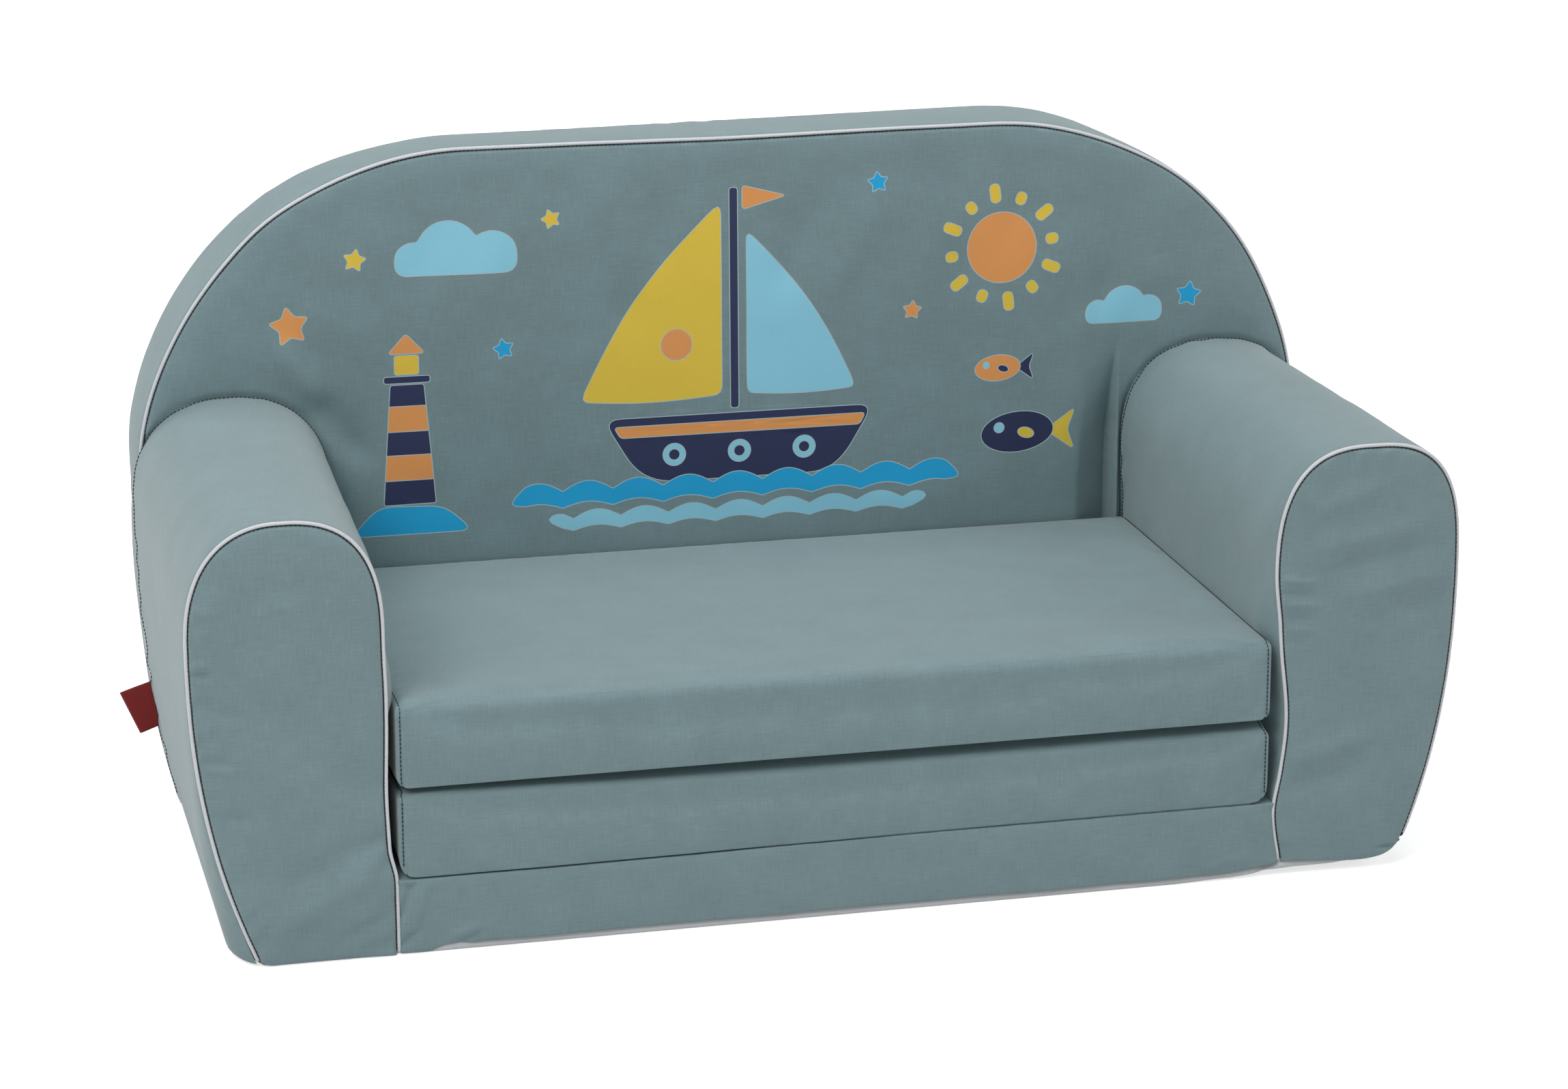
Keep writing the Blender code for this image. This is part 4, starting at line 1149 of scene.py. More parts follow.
def make_sleeve(side, name, finish):
    """The cloth over an arm, from the front seam to the seam on the backrest."""
    seed = 80 + side
    depths = graded(FRONT_Y + 2.8 * MM, ARM_REAR_Y + 1.2 * MM, FINE_STEP, COARSE_STEP)
    rows = [sleeve_point(side, y) for y in depths]
    base = np.array([row for row, _ in rows])
    outward = np.array([out for _, out in rows])
    along = np.array([lengths_along(row) for row in base])
    ys = np.repeat(depths[:, None], SLEEVE_COLUMNS, axis=1)
    from_front, from_rear = ys - depths[0], depths[-1] - ys
    between = np.minimum(from_front, from_rear)
    z = base[..., 1]
    shown = smooth(0.0, 0.03, z)
    swell = seam_dip(from_rear, 0.5 * MM, 7 * MM) - seam_dip(from_front, 0.7 * MM, 4 * MM)
    soft = 0.45 * MM * noise(along, ys, 70 * MM, seed) + 0.20 * MM * noise(along, ys + 0.3 * along, 26 * MM, seed + 1)
    soft += 0.05 * MM * noise(along, ys, 9 * MM, seed + 2)
    swell += soft * smooth(0, 14 * MM, between) * shown
    swell += 0.45 * MM * puckers(along, from_front, seed + 11, 8, 9, 0.3)
    swell += 0.90 * MM * puckers(along, from_rear, seed + 12, 8.5, 14, 0.7)
    beside_cushion = 1 - smooth(ARM_INNER_X + 4 * MM, ARM_INNER_X + 12 * MM, np.abs(base[..., 0]))
    beside_cushion = beside_cushion * (1 - smooth(0.15, 0.19, z))
    swell = np.where(swell > 0, swell * (1 - beside_cushion), swell)
    swell -= 3.2 * MM * np.clip(1 - from_rear / (1.6 * MM), 0, 1) * smooth(0.355, 0.372, np.abs(base[..., 0]))
    shifted = base + outward * swell[..., None]
    points = np.stack([shifted[..., 0], ys, shifted[..., 1]], axis=2)
    made = grid(f"arm_{name}_sleeve", points, np.stack([along, ys], axis=2), flip=side < 0)
    covered(made, finish, f"arm_sleeve_{name}", f"arm_foam_{name}")

    line = int(np.argmin(np.abs(depths - ARM_REAR_Y + 0.3 * MM)))
    shown_part = slice(10, SLEEVE_COLUMNS - 4)
    ups = np.stack([outward[line][:, 0], 0 * z[line], outward[line][:, 1]], axis=1)[shown_part]
    path = points[line][shown_part] + ups * 0.2 * MM
    lines = [(path, ups)]
    stitches(f"arm_{name}_rear_stitches", lines, finish["thread_and_seam_shade"], "sofa", radius=0.5 * MM)


def arm_front_surface(side):
    """A function that gives the depth of an arm's front panel at X and Z points."""
    edge = even(arm_outline(side, FRONT_Y, PANEL_INSET) * (side, 1), 2 * MM)
    seed = 100 + side

    def depth(points):
        x, z = points[:, 0], points[:, 1]
        to_edge, place = nearest_on(edge, points)
        above = np.maximum(z - arm_hem(side, x), 0)
        free = np.minimum(to_edge, z)
        belly = 2.0 * MM * (1 - np.exp(-free / (24 * MM)))
        soft = with_folds(waves(x, z, seed, (0.5, 55), (0.2, 21)), x, z, ARM_FOLDS[side])
        small = 1.0 * MM * puckers(place, to_edge, seed + 2, 8, 13, 0.5)
        share = 1 - np.exp(-free / (2.5 * MM))
        turned = np.maximum(rolled_edge(to_edge), rolled_edge(above, 1.2 * MM, 0))
        return FRONT_Y - belly - soft * share - small + turned

    return depth


# Creases in the arms' front panels, left and right
ARM_FOLDS = {
    -1: (
        ((-0.392, 0.1880), (-0.370, 0.1850), 1.8, 1.8),
        ((-0.392, 0.1828), (-0.366, 0.1795), 1.8, -1.8),
        ((-0.392, 0.1776), (-0.372, 0.1748), 1.8, 1.3),
        ((-0.385, 0.1300), (-0.358, 0.1260), 2.6, -1.3),
        ((-0.382, 0.1240), (-0.356, 0.1200), 2.6, 1.0),
        ((-0.372, 0.0950), (-0.345, 0.0900), 3.5, -0.9),
        ((-0.352, 0.2180), (-0.300, 0.2190), 6.0, 1.0),
        ((-0.384, 0.1620), (-0.345, 0.1520), 5.0, -1.2),
        ((-0.345, 0.0180), (-0.264, 0.0620), 8.0, 2.0),
        ((-0.350, 0.0400), (-0.264, 0.0800), 8.0, -1.8),
        ((-0.310, 0.0080), (-0.264, 0.0300), 5.0, -1.4),
    ),
    1: (
        ((0.262, 0.1905), (0.298, 0.1870), 2.1, 1.7),
        ((0.262, 0.1830), (0.296, 0.1790), 2.0, -1.7),
        ((0.262, 0.1755), (0.300, 0.1720), 2.1, 1.7),
        ((0.262, 0.1680), (0.294, 0.1640), 2.0, -1.6),
        ((0.262, 0.1605), (0.296, 0.1560), 2.1, 1.5),
        ((0.262, 0.1530), (0.290, 0.1490), 2.0, -1.3),
        ((0.280, 0.2260), (0.345, 0.2500), 7.0, 1.8),
        ((0.275, 0.2050), (0.375, 0.2220), 7.0, 2.2),
        ((0.280, 0.1900), (0.385, 0.2080), 6.0, -2.0),
        ((0.300, 0.1760), (0.392, 0.1900), 6.0, 2.0),
        ((0.305, 0.1600), (0.390, 0.1720), 7.0, -1.8),
        ((0.262, 0.0720), (0.345, 0.0900), 7.0, 2.2),
        ((0.262, 0.0520), (0.340, 0.0720), 7.0, -2.0),
        ((0.334, 0.0135), (0.362, 0.0140), 1.0, -1.6),
    ),
}


def make_arm_front(side, name, finish):
    """An arm's front panel, and the dark stitches beside its piping, which also paint the seam's shade."""

    def line(inset, room):
        return above_hem(side, even(arm_outline(side, FRONT_Y, inset), 1.6 * MM) * (side, 1), room)

    top = line(PANEL_INSET, 1.2 * MM)
    across = np.linspace(top[-1][0], top[0][0], 70)
    outline = np.vstack([top, np.column_stack([across, arm_hem(side, across)])])
    rows = [line(PANEL_INSET + away, 1 * MM + away) for away in EDGE_ROWS]
    rows += [np.column_stack([across[2:-2], arm_hem(side, across[2:-2]) + away]) for away in EDGE_ROWS[:2]]
    depth = arm_front_surface(side)

    def place(points):
        return upright(points, depth(points))

    made = panel(f"arm_{name}_front", outline, PANEL_STEP * 0.6, place, rows=rows, flip=side > 0)
    fix_facing(made, (0, -1, 0))
    covered(made, finish, f"arm_front_panel_{name}")
    seam = line(PANEL_INSET - 0.1 * MM, 2 * MM)
    lines = [level_line(upright(seam, FRONT_Y + STITCH_BACK), -1)]
    stitches(f"arm_{name}_stitches", lines, finish["thread_and_seam_shade"], "sofa")


def fix_facing(piece, way):
    """Turn an open piece's faces so that most look the given way."""
    shape = bmesh.new()
    shape.from_mesh(piece.data)
    facing = sum((face.normal * face.calc_area() for face in shape.faces), Vector())
    if facing.dot(Vector(way)) < 0:
        bmesh.ops.reverse_faces(shape, faces=shape.faces)
    shape.to_mesh(piece.data)
    shape.free()


# Tag


def make_tag(finish):
    """The folded red tag in the left side seam."""
    low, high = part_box("side_label")
    length_steps, width_steps = 22, 20
    top_root = np.array([low.x + 0.0222, 0.0867])
    top_tip = np.array([low.x, 0.0795])
    low_root = np.array([high.x + 0.0012, 0.0565])
    low_tip = np.array([low.x + 0.0117, 0.0521])
    thickness, loop = 0.45 * MM, 0.55 * MM
    middle_y = (low.y + high.y) / 2
    rows, uv_rows = [], []
    turn = np.linspace(0, 2, 2 * width_steps + 1)
    for share in np.linspace(0, 1, length_steps + 1):
        root = top_root + (low_root - top_root) * share
        tip = top_tip + (low_tip - top_tip) * share
        out = np.where(turn <= 1, turn, 2 - turn)
        side = np.where(turn <= 1, -1.0, 1.0) * np.sqrt(np.maximum(1 - out**6, 0))
        wave = 0.8 * MM * np.sin(2.2 * out + 2.6 * share) * out
        x = root[0] + (tip[0] - root[0]) * out
        z = root[1] + (tip[1] - root[1]) * out
        rows.append(np.column_stack([x, middle_y + wave + side * (loop + 0.5 * MM * out * (1 - out)), z]))
        uv_rows.append(np.column_stack([turn * 0.022, np.full(len(turn), share * 0.030)]))
    made = grid("side_tag", np.array(rows), np.array(uv_rows))
    thicken(made, thickness, 0)
    finished(made, finish["tag"], "sofa", ["side_label"])


# Base


BASE_ROUND = 1.1 * MM
PIPED_GAP = 0.4 * MM


def base_sag(x, y):
    """How far the base's front top edge gives way under the cushions, most of it at the left."""
    return (3.6 - 1.7 * smooth(-0.20, 0.10, x)) * MM * (1 - smooth(0, 16 * MM, y - FRONT_Y))


def make_base(finish):
    """The base's front and deck, and the pale cloth that the sofa stands on."""
    make_base_front(finish)
    make_deck(finish)
    make_bottom(finish)


def make_base_front(finish):
    """The base's front cloth, from the left arm's piping to the right one's, rounded at its top edge."""
    across = graded(0, 1, FINE_STEP / 0.54, 2.2 * MM / 0.54)
    face = np.concatenate([[0, 0.012, 0.035], np.linspace(0.08, 1, 20)])
    turn = np.linspace(0, pi / 2, 6)[1:]
    columns = []
    for share in across:
        foot = float(cloth_foot(np.array([-0.266 + 0.536 * share]))[0])
        top = BASE_TOP - base_sag(-0.266 + 0.536 * share, FRONT_Y)
        z = foot + (top - BASE_ROUND - 0.2 * MM - foot) * face
        z = np.concatenate([z, z[-1] + BASE_ROUND * np.sin(turn)])
        y = np.concatenate([0 * face + FRONT_Y, FRONT_Y + BASE_ROUND * (1 - np.cos(turn))])
        left, right = (arm_inner_line(side, FRONT_Y, z) + PIPED_GAP for side in (-1, 1))
        columns.append(np.column_stack([(left + right) * share - left, y, z]))
    points = np.array(columns)
    x, z = points[..., 0], points[..., 2]
    from_end = np.minimum(across, 1 - across)[:, None] * 0.54 + 0 * z
    below = points[:, -1:, 2] - z
    on_face = smooth(0.8 * MM, 3 * MM, below)
    lift = 0.9 * MM * (1 - np.exp(-from_end / (18 * MM))) * np.sin(np.clip(z / BASE_TOP, 0, 1) * pi) ** 0.6
    lift = with_folds(lift + waves(x, z, 121, (0.5, 60), (0.15, 17)), x, z, BASE_FOLDS)
    lift += 0.75 * MM * puckers(z, from_end, 123, 6, 10, 0.8)
    points[..., 1] -= lift * on_face
    turned = rolled_edge(from_end, 1.6 * MM, 0.5 * MM) + rolled_edge(z - points[:, :1, 2], 1.0 * MM, 0)
    points[..., 1] += turned * on_face
    made = grid("base_front", points, points[..., [0, 2]], flip=False)
    fix_facing(made, (0, -1, 0))
    covered(made, finish, "base_front_panel", "base_foam")


# Folds in the base's front, most of them at its left end
BASE_FOLDS = (
    ((-0.2560, 0.0540), (-0.2680, 0.0160), 2.6, -2.2),
    ((-0.2470, 0.0540), (-0.2600, 0.0120), 3.4, 1.6),
    ((-0.2700, 0.0030), (-0.2530, 0.0170), 1.9, -1.6),
    ((-0.2370, 0.0030), (-0.2160, 0.0115), 1.7, -1.2),
    ((-0.2410, 0.0070), (-0.2140, 0.0165), 2.6, 1.3),
    ((0.2220, 0.0100), (0.2620, 0.0160), 3.0, 0.9),
)


def make_deck(finish):
    """The cloth on the base's top, which the cushions cover when they are folded in."""
    across = graded(-ARM_INNER_X + 0.5 * MM, ARM_INNER_X - 0.5 * MM, FINE_STEP, COARSE_STEP)
    deep = graded(FRONT_Y + BASE_ROUND, BACK_FRONT_Y + 0.4 * MM, FINE_STEP, COARSE_STEP)
    x, y = np.meshgrid(across, deep, indexing="ij")
    edge = np.minimum(across[-1] - np.abs(x), np.minimum(y - deep[0], deep[-1] - y))
    hollow = 0.35 * MM + 0.3 * MM * noise(x, y, 60 * MM, 131) + 0.1 * MM * noise(x, y, 18 * MM, 132)
    z = BASE_TOP - np.maximum(hollow, 0) * smooth(0, 12 * MM, edge) - seam_dip(edge, 0.6 * MM, 4 * MM)
    z = z - base_sag(x, y)
    made = grid("base_deck", np.stack([x, y, z], axis=2), np.stack([x, y], axis=2))
    fix_facing(made, (0, 0, 1))
    covered(made, finish, "deck_cloth")


def make_bottom(finish):
    """The pale non-woven cloth under the sofa, turned up at the front behind the covers' edge."""
    front_half, half, rear_half = 0.346, 0.3600, abs(back_outline(1.5 * MM, FOOT, 1)[0][0]) - 2 * MM
    across = np.linspace(-1, 1, 220)
    turn_up = [(2.8, 7.0), (1.8, 4.5), (1.0, 2.5), (0.9, 1.2), (1.4, 0.35), (2.4, 0.05)]
    turn_up = [(FRONT_Y + back * MM, up * MM) for back, up in turn_up]
    deep = np.linspace(FRONT_Y + 7 * MM, REAR_Y - 1.5 * MM, 60)
    profile = turn_up + [(y, 0.05 * MM) for y in deep]
    rows = []
    for y, z in profile:
        behind = y - FRONT_Y
        wide = front_half - np.where(across > 0, 5 * MM, 0)
        wide = wide + (half - wide) * smooth(0, 34 * MM, behind) + (rear_half - half) * smooth(0.10, REAR_Y, y)
        x = across * wide
        turned_up = 1 - smooth(2 * MM, 7 * MM, behind)
        inner = smooth(0, 10 * MM, wide - np.abs(x))
        ripple = waves(x, 0 * x + y, 141, (0.18, 16), (0.08, 5))
        lift = 1.2 * smooth(0.205, 0.240, x) + 3.6 * smooth(0.240, 0.287, x) + 1.0 * smooth(0.306, 0.322, x)
        lift = (lift + 1.8 * smooth(0.322, 0.341, x)) * MM * (1 - smooth(4 * MM, 34 * MM, behind))
        at_seams = bump(np.abs(x), 0.2672, 5 * MM) * turned_up
        height = z * (1 - 0.5 * at_seams) + lift + 0.05 * MM
        depth = y + (np.abs(ripple) + 1.6 * MM * (1 - inner)) * turned_up + 2.6 * MM * at_seams
        rows.append(np.column_stack([x, depth, height]))
    points = np.array(rows)
    made = grid("bottom_fleece", points, points[..., :2])
    fix_facing(made, (0, 0, -1))
    finished(made, finish["non_woven"], "sofa", ["bottom_cloth"])


# Cushions

CLOTH_FRAMES = 20
CLOTH_PRESSURE = 4.0
CLOTH_LARGEST_MOVE = 1.6 * MM
CUSHION_FINE, CUSHION_DEEP_FINE = 0.6 * MM, 0.8 * MM
CUSHION_COARSE, CUSHION_HIGH_COARSE = 5.0 * MM, 4.0 * MM
CUSHION_HALF_WIDTH = 0.2665
CUSHION_SEAM_INSET = 2.4 * MM
SEAT_TOP = 0.1517


def box_net(xs, ys, zs):
    """The surface of a block with these lattice places: points, faces and each face's side (0 X, 1 Y, 2 Z)."""
    counts = (len(xs), len(ys), len(zs))
    numbers = {}
    points = []

    def number(place):
        if place not in numbers:
            numbers[place] = len(points)
            points.append((xs[place[0]], ys[place[1]], zs[place[2]]))
        return numbers[place]

    faces, sides = [], []
    for axis in range(3):
        first, second = (axis + 1) % 3, (axis + 2) % 3
        for end in (0, counts[axis] - 1):
            for i in range(counts[first] - 1):
                for j in range(counts[second] - 1):
                    corners = []
                    for di, dj in ((0, 0), (1, 0), (1, 1), (0, 1)):
                        place = [0, 0, 0]
                        place[axis], place[first], place[second] = end, i + di, j + dj
                        corners.append(number(tuple(place)))
                    faces.append(corners if end else corners[::-1])
                    sides.append(axis)
    return np.array(points), faces, sides


def round_edge(points, first, second, radius):
    """Round an edge of a block. first and second are an axis, the face's place and the way out of it."""
    (axis_a, place_a, way_a), (axis_b, place_b, way_b) = first, second
    radius = np.broadcast_to(radius, len(points))
    into_a = (place_a - points[:, axis_a]) * way_a
    into_b = (place_b - points[:, axis_b]) * way_b
    past_a, past_b = radius - into_a, radius - into_b
    both = (past_a > 0) & (past_b > 0)
    long = np.maximum(np.hypot(past_a, past_b), 1e-9)
    biggest = np.maximum(past_a, past_b)
    scale = np.where(both, biggest / long, 1)
    rounded_points = points.copy()
    rounded_points[:, axis_a] = np.where(both, place_a - way_a * (radius - past_a * scale), points[:, axis_a])
    rounded_points[:, axis_b] = np.where(both, place_b - way_b * (radius - past_b * scale), points[:, axis_b])
    return rounded_points


def swell_cloth(piece, held):
    """Swell a closed cover as cloth under pressure between its held seams, with every move capped."""
    mesh = piece.data
    before = np.zeros(len(mesh.vertices) * 3, np.float32)
    mesh.vertices.foreach_get("co", before)
    before = before.reshape(-1, 3)
    group = piece.vertex_groups.new(name="seams")
    group.add([int(i) for i in np.flatnonzero(held)], 1.0, "REPLACE")
    modifier = piece.modifiers.new("cloth", "CLOTH")
    settings = modifier.settings
    settings.quality = 6
    settings.mass = 0.25
    settings.tension_stiffness = 18
    settings.compression_stiffness = 12
    settings.shear_stiffness = 6
    settings.bending_stiffness = 0.6
    settings.use_pressure = True
    settings.uniform_pressure_force = CLOTH_PRESSURE
    settings.vertex_group_mass = "seams"
    settings.pin_stiffness = 1.0
    settings.shrink_min = -0.006
    settings.effector_weights.gravity = 0
    modifier.collision_settings.use_collision = False
    modifier.collision_settings.use_self_collision = False
    scene = bpy.context.scene
    for step in range(1, CLOTH_FRAMES + 1):
        scene.frame_set(step)
    shown = piece.evaluated_get(bpy.context.evaluated_depsgraph_get())
    after = np.zeros(len(mesh.vertices) * 3, np.float32)
    shown.data.vertices.foreach_get("co", after)
    piece.modifiers.remove(modifier)
    piece.vertex_groups.clear()
    scene.frame_set(1)
    move = after.reshape(-1, 3) - before
    size = np.linalg.norm(move, axis=1)
    most = CLOTH_LARGEST_MOVE
    move *= (most * np.tanh(size / most) / np.maximum(size, 1e-9))[:, None]
    return before + move


def make_cushion(name, top_is_free, finish):
    """A cushion's cover, swollen between its seams, with its end seams and their stitches."""
    low, high = (np.array(corner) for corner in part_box(name + "_wrap"))
    low[0], high[0] = -CUSHION_HALF_WIDTH + 0.9 * MM, CUSHION_HALF_WIDTH
    low += (0, 0.3 * MM, 0.15 * MM)
    high += (0, 0.4 * MM, -0.15 * MM)
    if top_is_free:
        high[2] = SEAT_TOP
    xs = graded(low[0], high[0], CUSHION_FINE, CUSHION_COARSE)
    ys = graded(low[1], high[1], CUSHION_DEEP_FINE, CUSHION_COARSE)
    zs = graded(low[2], high[2], CUSHION_FINE, CUSHION_HIGH_COARSE)
    points, faces, sides = box_net(xs, ys, zs)
    flat = points.copy()
    front, rear = (1, low[1], -1), (1, high[1], 1)
    bottom, top = (2, low[2], -1), (2, high[2], 1)
    left, right = (0, low[0], -1), (0, high[0], 1)
    points = round_edge(points, front, top, (8.0 if top_is_free else 4.0) * MM)
    points = round_edge(points, rear, top, 2.0 * MM)
    points = round_edge(points, front, bottom, 0.8 * MM)
    points = round_edge(points, rear, bottom, 1.6 * MM)
    for end in (left, right):
        points = round_edge(points, end, front, 1.5 * MM)
        points = round_edge(points, end, rear, 2.0 * MM)
        points = round_edge(points, end, top, (5.0 if top_is_free else 4.0) * MM)
        points = round_edge(points, end, bottom, (6.5 if top_is_free else 9.5) * MM)
    uvs = [flat[corner][[(axis + 1) % 3, (axis + 2) % 3]] for face, axis in zip(faces, sides) for corner in face]
    piece = new_mesh(name + "_cover", points, faces, uvs)

    middle_x = (low[0] + high[0]) / 2
    seam_x = high[0] - middle_x - CUSHION_SEAM_INSET
    on_seam = np.abs(np.abs(flat[:, 0] - middle_x) - seam_x) < 0.6 * MM
    at_front, at_rear = flat[:, 1] < low[1] + 2 * MM, flat[:, 1] > high[1] - 2 * MM
    sewn = ((flat[:, 2] < low[2] + 0.5 * MM) & (at_front | at_rear)) | (at_rear & (flat[:, 2] > high[2] - 2 * MM))
    ends = np.abs(flat[:, 0] - middle_x) > seam_x + 0.6 * MM
    swollen = swell_cloth(piece, on_seam | sewn | ends)
    swollen = settle(name, swollen, flat, low, high, top_is_free)
    piece.data.vertices.foreach_set("co", swollen.astype(np.float32).ravel())
    piece.data.update()
    subdivide = piece.modifiers.new("smooth cloth", "SUBSURF")
    subdivide.levels = subdivide.render_levels = 1
    replaced = [name + tail for tail in ("_wrap", "_foam", "_end_left", "_end_right")]
    finished(piece, finish["cover"], name, replaced)
    cushion_stitches(name, piece, seam_x, low, high, finish)
    return piece


def settle(name, points, flat, low, high, top_is_free):
    """Flatten a cushion where it rests, soften its faces and draw in its seams."""
    x, y, z = flat.T
    seed = 161 if top_is_free else 171
    points = points.copy()
    middle = smooth(0, 40 * MM, np.minimum(high[0] - np.abs(x), np.minimum(y - low[1], high[1] - y)))
    on_top, on_front = z > high[2] - 0.1 * MM, y < low[1] + 0.1 * MM
    soft = waves(x, y, seed, (0.35, 70), (0.12, 24))
    points[:, 2] += np.where(on_top, soft * middle, 0)
    wavy = waves(x, z, seed + 2, (0.35, 45), (0.10, 14))
    points[:, 1] += np.where(on_front, wavy * smooth(0, 12 * MM, high[0] - np.abs(x)), 0)
    frame_low, frame_high = (np.array(corner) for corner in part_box(name + "_wrap"))
    ceiling = SEAT_TOP + 1.5 * MM if top_is_free else frame_high[2] - 0.1 * MM
    points[:, 2] = np.clip(points[:, 2], frame_low[2] + 0.05 * MM, ceiling)
    points[:, 1] = np.clip(points[:, 1], frame_low[1] - 1.6 * MM, high[1])
    upper_share = smooth(low[2] + 20 * MM, high[2], z)
    if top_is_free:
        crown = (0.4 + 1.2 * (1 - smooth(-0.24, 0.20, x))) * MM
        points[:, 2] += crown * upper_share * smooth(0, 20 * MM, high[1] - y)
        raised = (1.5 - 0.6 * smooth(-0.20, 0.15, x)) * MM
        points[:, 2] += raised * (1 - smooth(0, 22 * MM, y - low[1])) * (1 - upper_share)
    else:
        near_front = 1 - smooth(0, 26 * MM, y - low[1])
        points[:, 2] -= 5.6 * MM * near_front * upper_share * (0.3 + 0.7 * smooth(-0.26, -0.02, x))
        points[:, 2] -= base_sag(x, y) * (1 - smooth(low[2], low[2] + 25 * MM, z))
    centre = (low + high) / 2
    seam_x = high[0] - centre[0] - CUSHION_SEAM_INSET
    near = bump(np.abs(x - centre[0]), seam_x, 0.8 * MM) * 0.9 * MM
    for axis in (1, 2):
        outer = np.abs(points[:, axis] - centre[axis]) > (high[axis] - low[axis]) / 2 - 3 * MM
        points[:, axis] -= np.sign(points[:, axis] - centre[axis]) * near * outer
    return points


def cushion_stitches(name, piece, seam_x, low, high, finish):
    """Stitches along the end seams, laid on the cover."""
    tree = BVHTree.FromObject(piece, bpy.context.evaluated_depsgraph_get())
    lines = []
    for side in (-1, 1):
        x = (low[0] + high[0]) / 2 + side * (seam_x + 0.2 * MM)
        corners = [
            (x, low[1], low[2] + 4 * MM),
            (x, low[1], high[2] - 6 * MM),
            (x, low[1] + 6 * MM, high[2]),
            (x, high[1] - 4 * MM, high[2]),
            (x, high[1], high[2] - 4 * MM),
            (x, high[1], low[2] + 4 * MM),
        ]
        path, ups = [], []
        for point in even(corners, 2 * MM):
            place, normal, _, _ = tree.find_nearest(Vector(point))
            path.append(np.array(place + normal * STITCH_LIFT))
            ups.append(np.array(normal))
        lines.append((np.array(path), np.array(ups)))
    stitches(name + "_stitches", lines, finish["thread_and_seam_shade"], name, radius=0.42 * MM)


def make_hinges(finish):
    """The sewn strips that the cushions fold about."""
    front_box, rear_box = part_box("front_hinge_tape"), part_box("rear_hinge_tape")
    specs = (
        ("front_hinge", "sofa", "lower_cushion", front_box, FRONT_Y + 1.6 * MM, LOWER_FOLD.z, 2.6 * MM),
        ("rear_hinge", "lower_cushion", "upper_cushion", rear_box, rear_box[0].y, UPPER_FOLD.z, 3.6 * MM),
    )
    for name, lower, upper, (low, high), y, z, reach in specs:
        across = np.linspace(low.x, high.x, 120)
        up = np.linspace(z - reach, z + reach, 15)
        x, heights = np.meshgrid(across, up, indexing="ij")
        points = np.stack([x, y + 0.05 * MM * noise(x, heights, 9 * MM, 181), heights], axis=2)
        made = grid(name + "_strip", points, np.stack([x, heights], axis=2))
        fix_facing(made, (0, -1 if y < 0 else 1, 0))
        finished(made, finish["cover"], None, [name + "_tape"])
        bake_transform(made)


# Zip

COIL_PITCH = 1.3 * MM
RIB_PITCH, RIB_HEIGHT = 1.6 * MM, 0.06 * MM


def make_zip(finish):
    """Tapes with a ribbed edge, the coil's teeth, and the CAD's own metal parts."""
    for name in ("zip_tape_lower", "zip_tape_upper"):
        low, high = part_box(name)
        across = np.linspace(low.x, high.x, 90)
        up = np.linspace(low.z, high.z, 9)
        x, z = np.meshgrid(across, up, indexing="ij")
        y = high.y + RIB_HEIGHT * np.cos(2 * pi * (z - low.z) / RIB_PITCH) + 0.1 * MM * noise(x, z, 30 * MM, 191)
        made = grid(name + "_cloth", np.stack([x, y, z], axis=2), np.stack([x, z], axis=2))
        fix_facing(made, (0, 1, 0))
        thicken(made)
        finished(made, finish["zip_cloth"], "sofa", [name])
    make_teeth(finish)
    for name in ("zip_stop_left", "zip_stop_right", "zip_slider", "zip_pull"):
        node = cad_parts[name]
        node.data.materials.clear()
        node.data.materials.append(finish["metal"])
        bevel = node.modifiers.new("worn edges", "BEVEL")
        bevel.width = 0.22 * MM
        bevel.segments = 3
        bevel.limit_method = "ANGLE"


def make_teeth(finish):
    """The closed coil: turns from both tapes that lock into each other, and a row of stitches along each tape beside
    it.
    """
    low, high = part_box("zip_chain")
    middle_z = (low.z + high.z) / 2
    middle_y = (low.y + high.y) / 2
    pitch = COIL_PITCH
    half = (high.z - low.z) / 2
    form, form_faces = thread_shape()
    points, faces = [], []
    count = int((high.x - low.x) / pitch)
    for turn in range(count):
        for side in (-1, 1):
            x = low.x + (turn + 0.25 + (0.5 if side > 0 else 0)) * pitch
            centre = np.array([x, middle_y, middle_z + side * half * 0.36])
            scaled = form[:, [1, 2, 0]] * (0.34 * pitch, (high.y - low.y) / 2, half * 0.62)
            first = len(points)
            points += list(centre + scaled)
            faces += [[first + corner for corner in face] for face in form_faces]
    uvs = [np.array(points[corner])[[0, 2]] for face in faces for corner in face]
    made = new_mesh("zip_teeth", points, faces, uvs)
    finished(made, finish["zip_coil"], "sofa", ["zip_chain"])
    lines = []
    for side in (-1, 1):
        z = middle_z + side * (half + 0.5 * MM)
        path = np.array([(x, high.y - 1.0 * MM, z) for x in np.linspace(low.x, high.x, 240)])
        lines.append(level_line(path, 1))
    stitches("zip_stitches", lines, finish["thread_and_seam_shade"], "sofa", length=1.9 * MM, gap=0.5 * MM)


# Stage

CAMERA_PLACE = Vector((-0.5949, -2.4843, 0.9338))
CAMERA_YAW, CAMERA_PITCH, CAMERA_ROLL = 0.2369, -0.2859, -0.0018
FOCAL_PIXELS = 6262.56
PHOTO_WIDTH = 2298
SENSOR_MM = 36


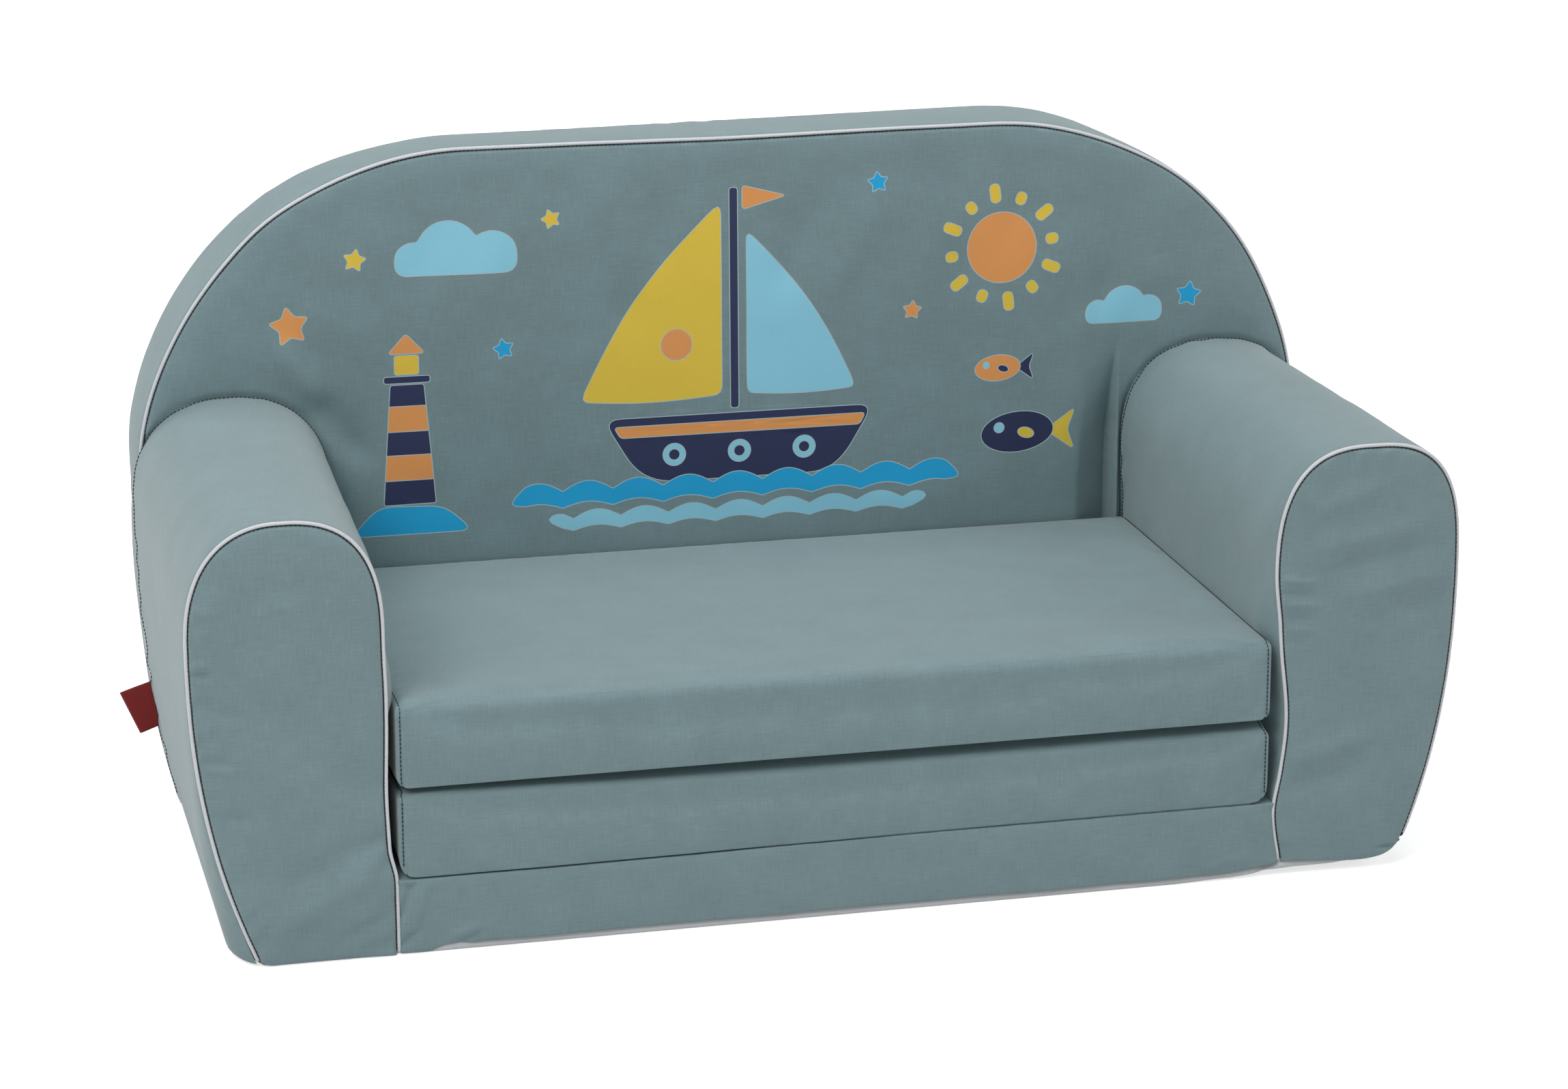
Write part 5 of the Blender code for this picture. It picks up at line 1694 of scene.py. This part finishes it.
def make_camera():
    """The camera at the photograph's place."""
    data = bpy.data.cameras.new("camera")
    data.sensor_width = SENSOR_MM
    data.lens = FOCAL_PIXELS * SENSOR_MM / PHOTO_WIDTH
    camera = linked("camera", data)
    ahead = Vector(
        (sin(CAMERA_YAW) * cos(CAMERA_PITCH), cos(CAMERA_YAW) * cos(CAMERA_PITCH), sin(CAMERA_PITCH))
    )
    right = Vector((cos(CAMERA_YAW), -sin(CAMERA_YAW), 0))
    up = right.cross(ahead)
    rolled_right = right * cos(CAMERA_ROLL) + up * sin(CAMERA_ROLL)
    rolled_up = up * cos(CAMERA_ROLL) - right * sin(CAMERA_ROLL)
    turned = Matrix((rolled_right, rolled_up, -ahead)).transposed().to_4x4()
    camera.matrix_world = Matrix.Translation(CAMERA_PLACE) @ turned
    bpy.context.scene.camera = camera


def make_lamp(name, place, size, power):
    """A soft square lamp."""
    data = bpy.data.lights.new(name, "AREA")
    data.shape = "SQUARE"
    data.size = size
    data.energy = power
    lamp = linked(name, data)
    lamp.location = place
    lamp.rotation_euler = (LAMP_TARGET - Vector(place)).to_track_quat("-Z", "Y").to_euler()


def seen_directly(tree):
    """The ray's kind, and a socket that is 1 for rays from the camera and for mirrored ones."""
    seen = tree.nodes.new("ShaderNodeLightPath")
    return seen, calculate(tree, "MAXIMUM", seen.outputs["Is Camera Ray"], seen.outputs["Is Glossy Ray"])


def make_world():
    """White to the camera and in reflections, and a plain grey light on everything else."""
    world = bpy.data.worlds.new("studio")
    bpy.context.scene.world = world
    world.use_nodes = True
    tree = world.node_tree
    tree.nodes.clear()
    seen, directly = seen_directly(tree)
    directly = calculate(tree, "MAXIMUM", directly, seen.outputs["Is Transmission Ray"])
    plain = add(tree, "Background", Color=(0.93, 0.97, 1.0, 1), Strength=WORLD_LIGHT)
    white = add(tree, "Background", Color=(1, 1, 1, 1), Strength=1.0)
    both = tree.nodes.new("ShaderNodeMixShader")
    tree.links.new(directly, both.inputs[0])
    tree.links.new(plain.outputs[0], both.inputs[1])
    tree.links.new(white.outputs[0], both.inputs[2])
    output = tree.nodes.new("ShaderNodeOutputWorld")
    tree.links.new(both.outputs[0], output.inputs["Surface"])


def make_floor():
    """A pale floor that reads as white to the camera and keeps the sofa's shadow."""
    mesh = bpy.data.meshes.new("floor")
    size = FLOOR_HALF_WIDTH
    corners = [(-size, -size, 0), (size, -size, 0), (size, size, 0), (-size, size, 0)]
    mesh.from_pydata(corners, [], [(0, 1, 2, 3)])
    floor = linked("floor", mesh)
    made, tree, shader = new_material("floor_white")
    set_inputs(shader, Base_Color=(0.80, 0.80, 0.80, 1), Roughness=0.9, Specular_IOR_Level=0.1)
    _, directly = seen_directly(tree)
    glow = add(tree, "Emission", Color=(1, 1, 1, 1))
    place = add(tree, "TexCoord")
    apart = add(tree, "VectorMath", {"operation": "LENGTH"})
    tree.links.new(place.outputs["Object"], apart.inputs[0])
    far = calculate(tree, "MULTIPLY", calculate(tree, "SUBTRACT", apart.outputs["Value"], 0.45), 2.5)
    far = calculate(tree, "MINIMUM", calculate(tree, "MAXIMUM", far, 0.0), 1.0)
    strength = calculate(tree, "MULTIPLY_ADD", far, FAR_FLOOR_GLOW - FLOOR_GLOW, FLOOR_GLOW)
    tree.links.new(calculate(tree, "MULTIPLY", directly, strength), glow.inputs["Strength"])
    both = tree.nodes.new("ShaderNodeAddShader")
    tree.links.new(shader.outputs[0], both.inputs[0])
    tree.links.new(glow.outputs[0], both.inputs[1])
    tree.links.new(both.outputs[0], tree.nodes["Material Output"].inputs["Surface"])
    mesh.materials.append(made)


FLOOR_HALF_WIDTH = 14
WORLD_LIGHT = 0.280
FLOOR_GLOW = 0.66
FAR_FLOOR_GLOW = 1.0
LAMP_TARGET = Vector((0, 0, 0.2))
# Name, place, size and power
LAMPS = (
    ("key", (-1.62, -1.58, 2.3), 1.4, 33.8),
    ("top", (0, 0, 2.6), 1.8, 22.5),
    ("side", (2.2, -0.8, 1.8), 1.2, 12),
    ("behind", (-1.6, 1.6, 1.1), 1.2, 8),
)


def make_stage():
    """Camera, lamps, world and floor."""
    bpy.context.scene.view_settings.view_transform = "Standard"
    make_camera()
    make_world()
    for lamp in LAMPS:
        make_lamp(*lamp)
    make_floor()


def make_sofa():
    """Every piece of the sofa."""
    finish = make_materials()
    make_backrest(finish)
    for side, name in ((-1, "left"), (1, "right")):
        make_arm(side, name, finish)
    make_tag(finish)
    make_base(finish)
    make_cushion("lower_cushion", False, finish)
    make_cushion("upper_cushion", True, finish)
    make_hinges(finish)
    make_zip(finish)


make_sofa()
make_stage()
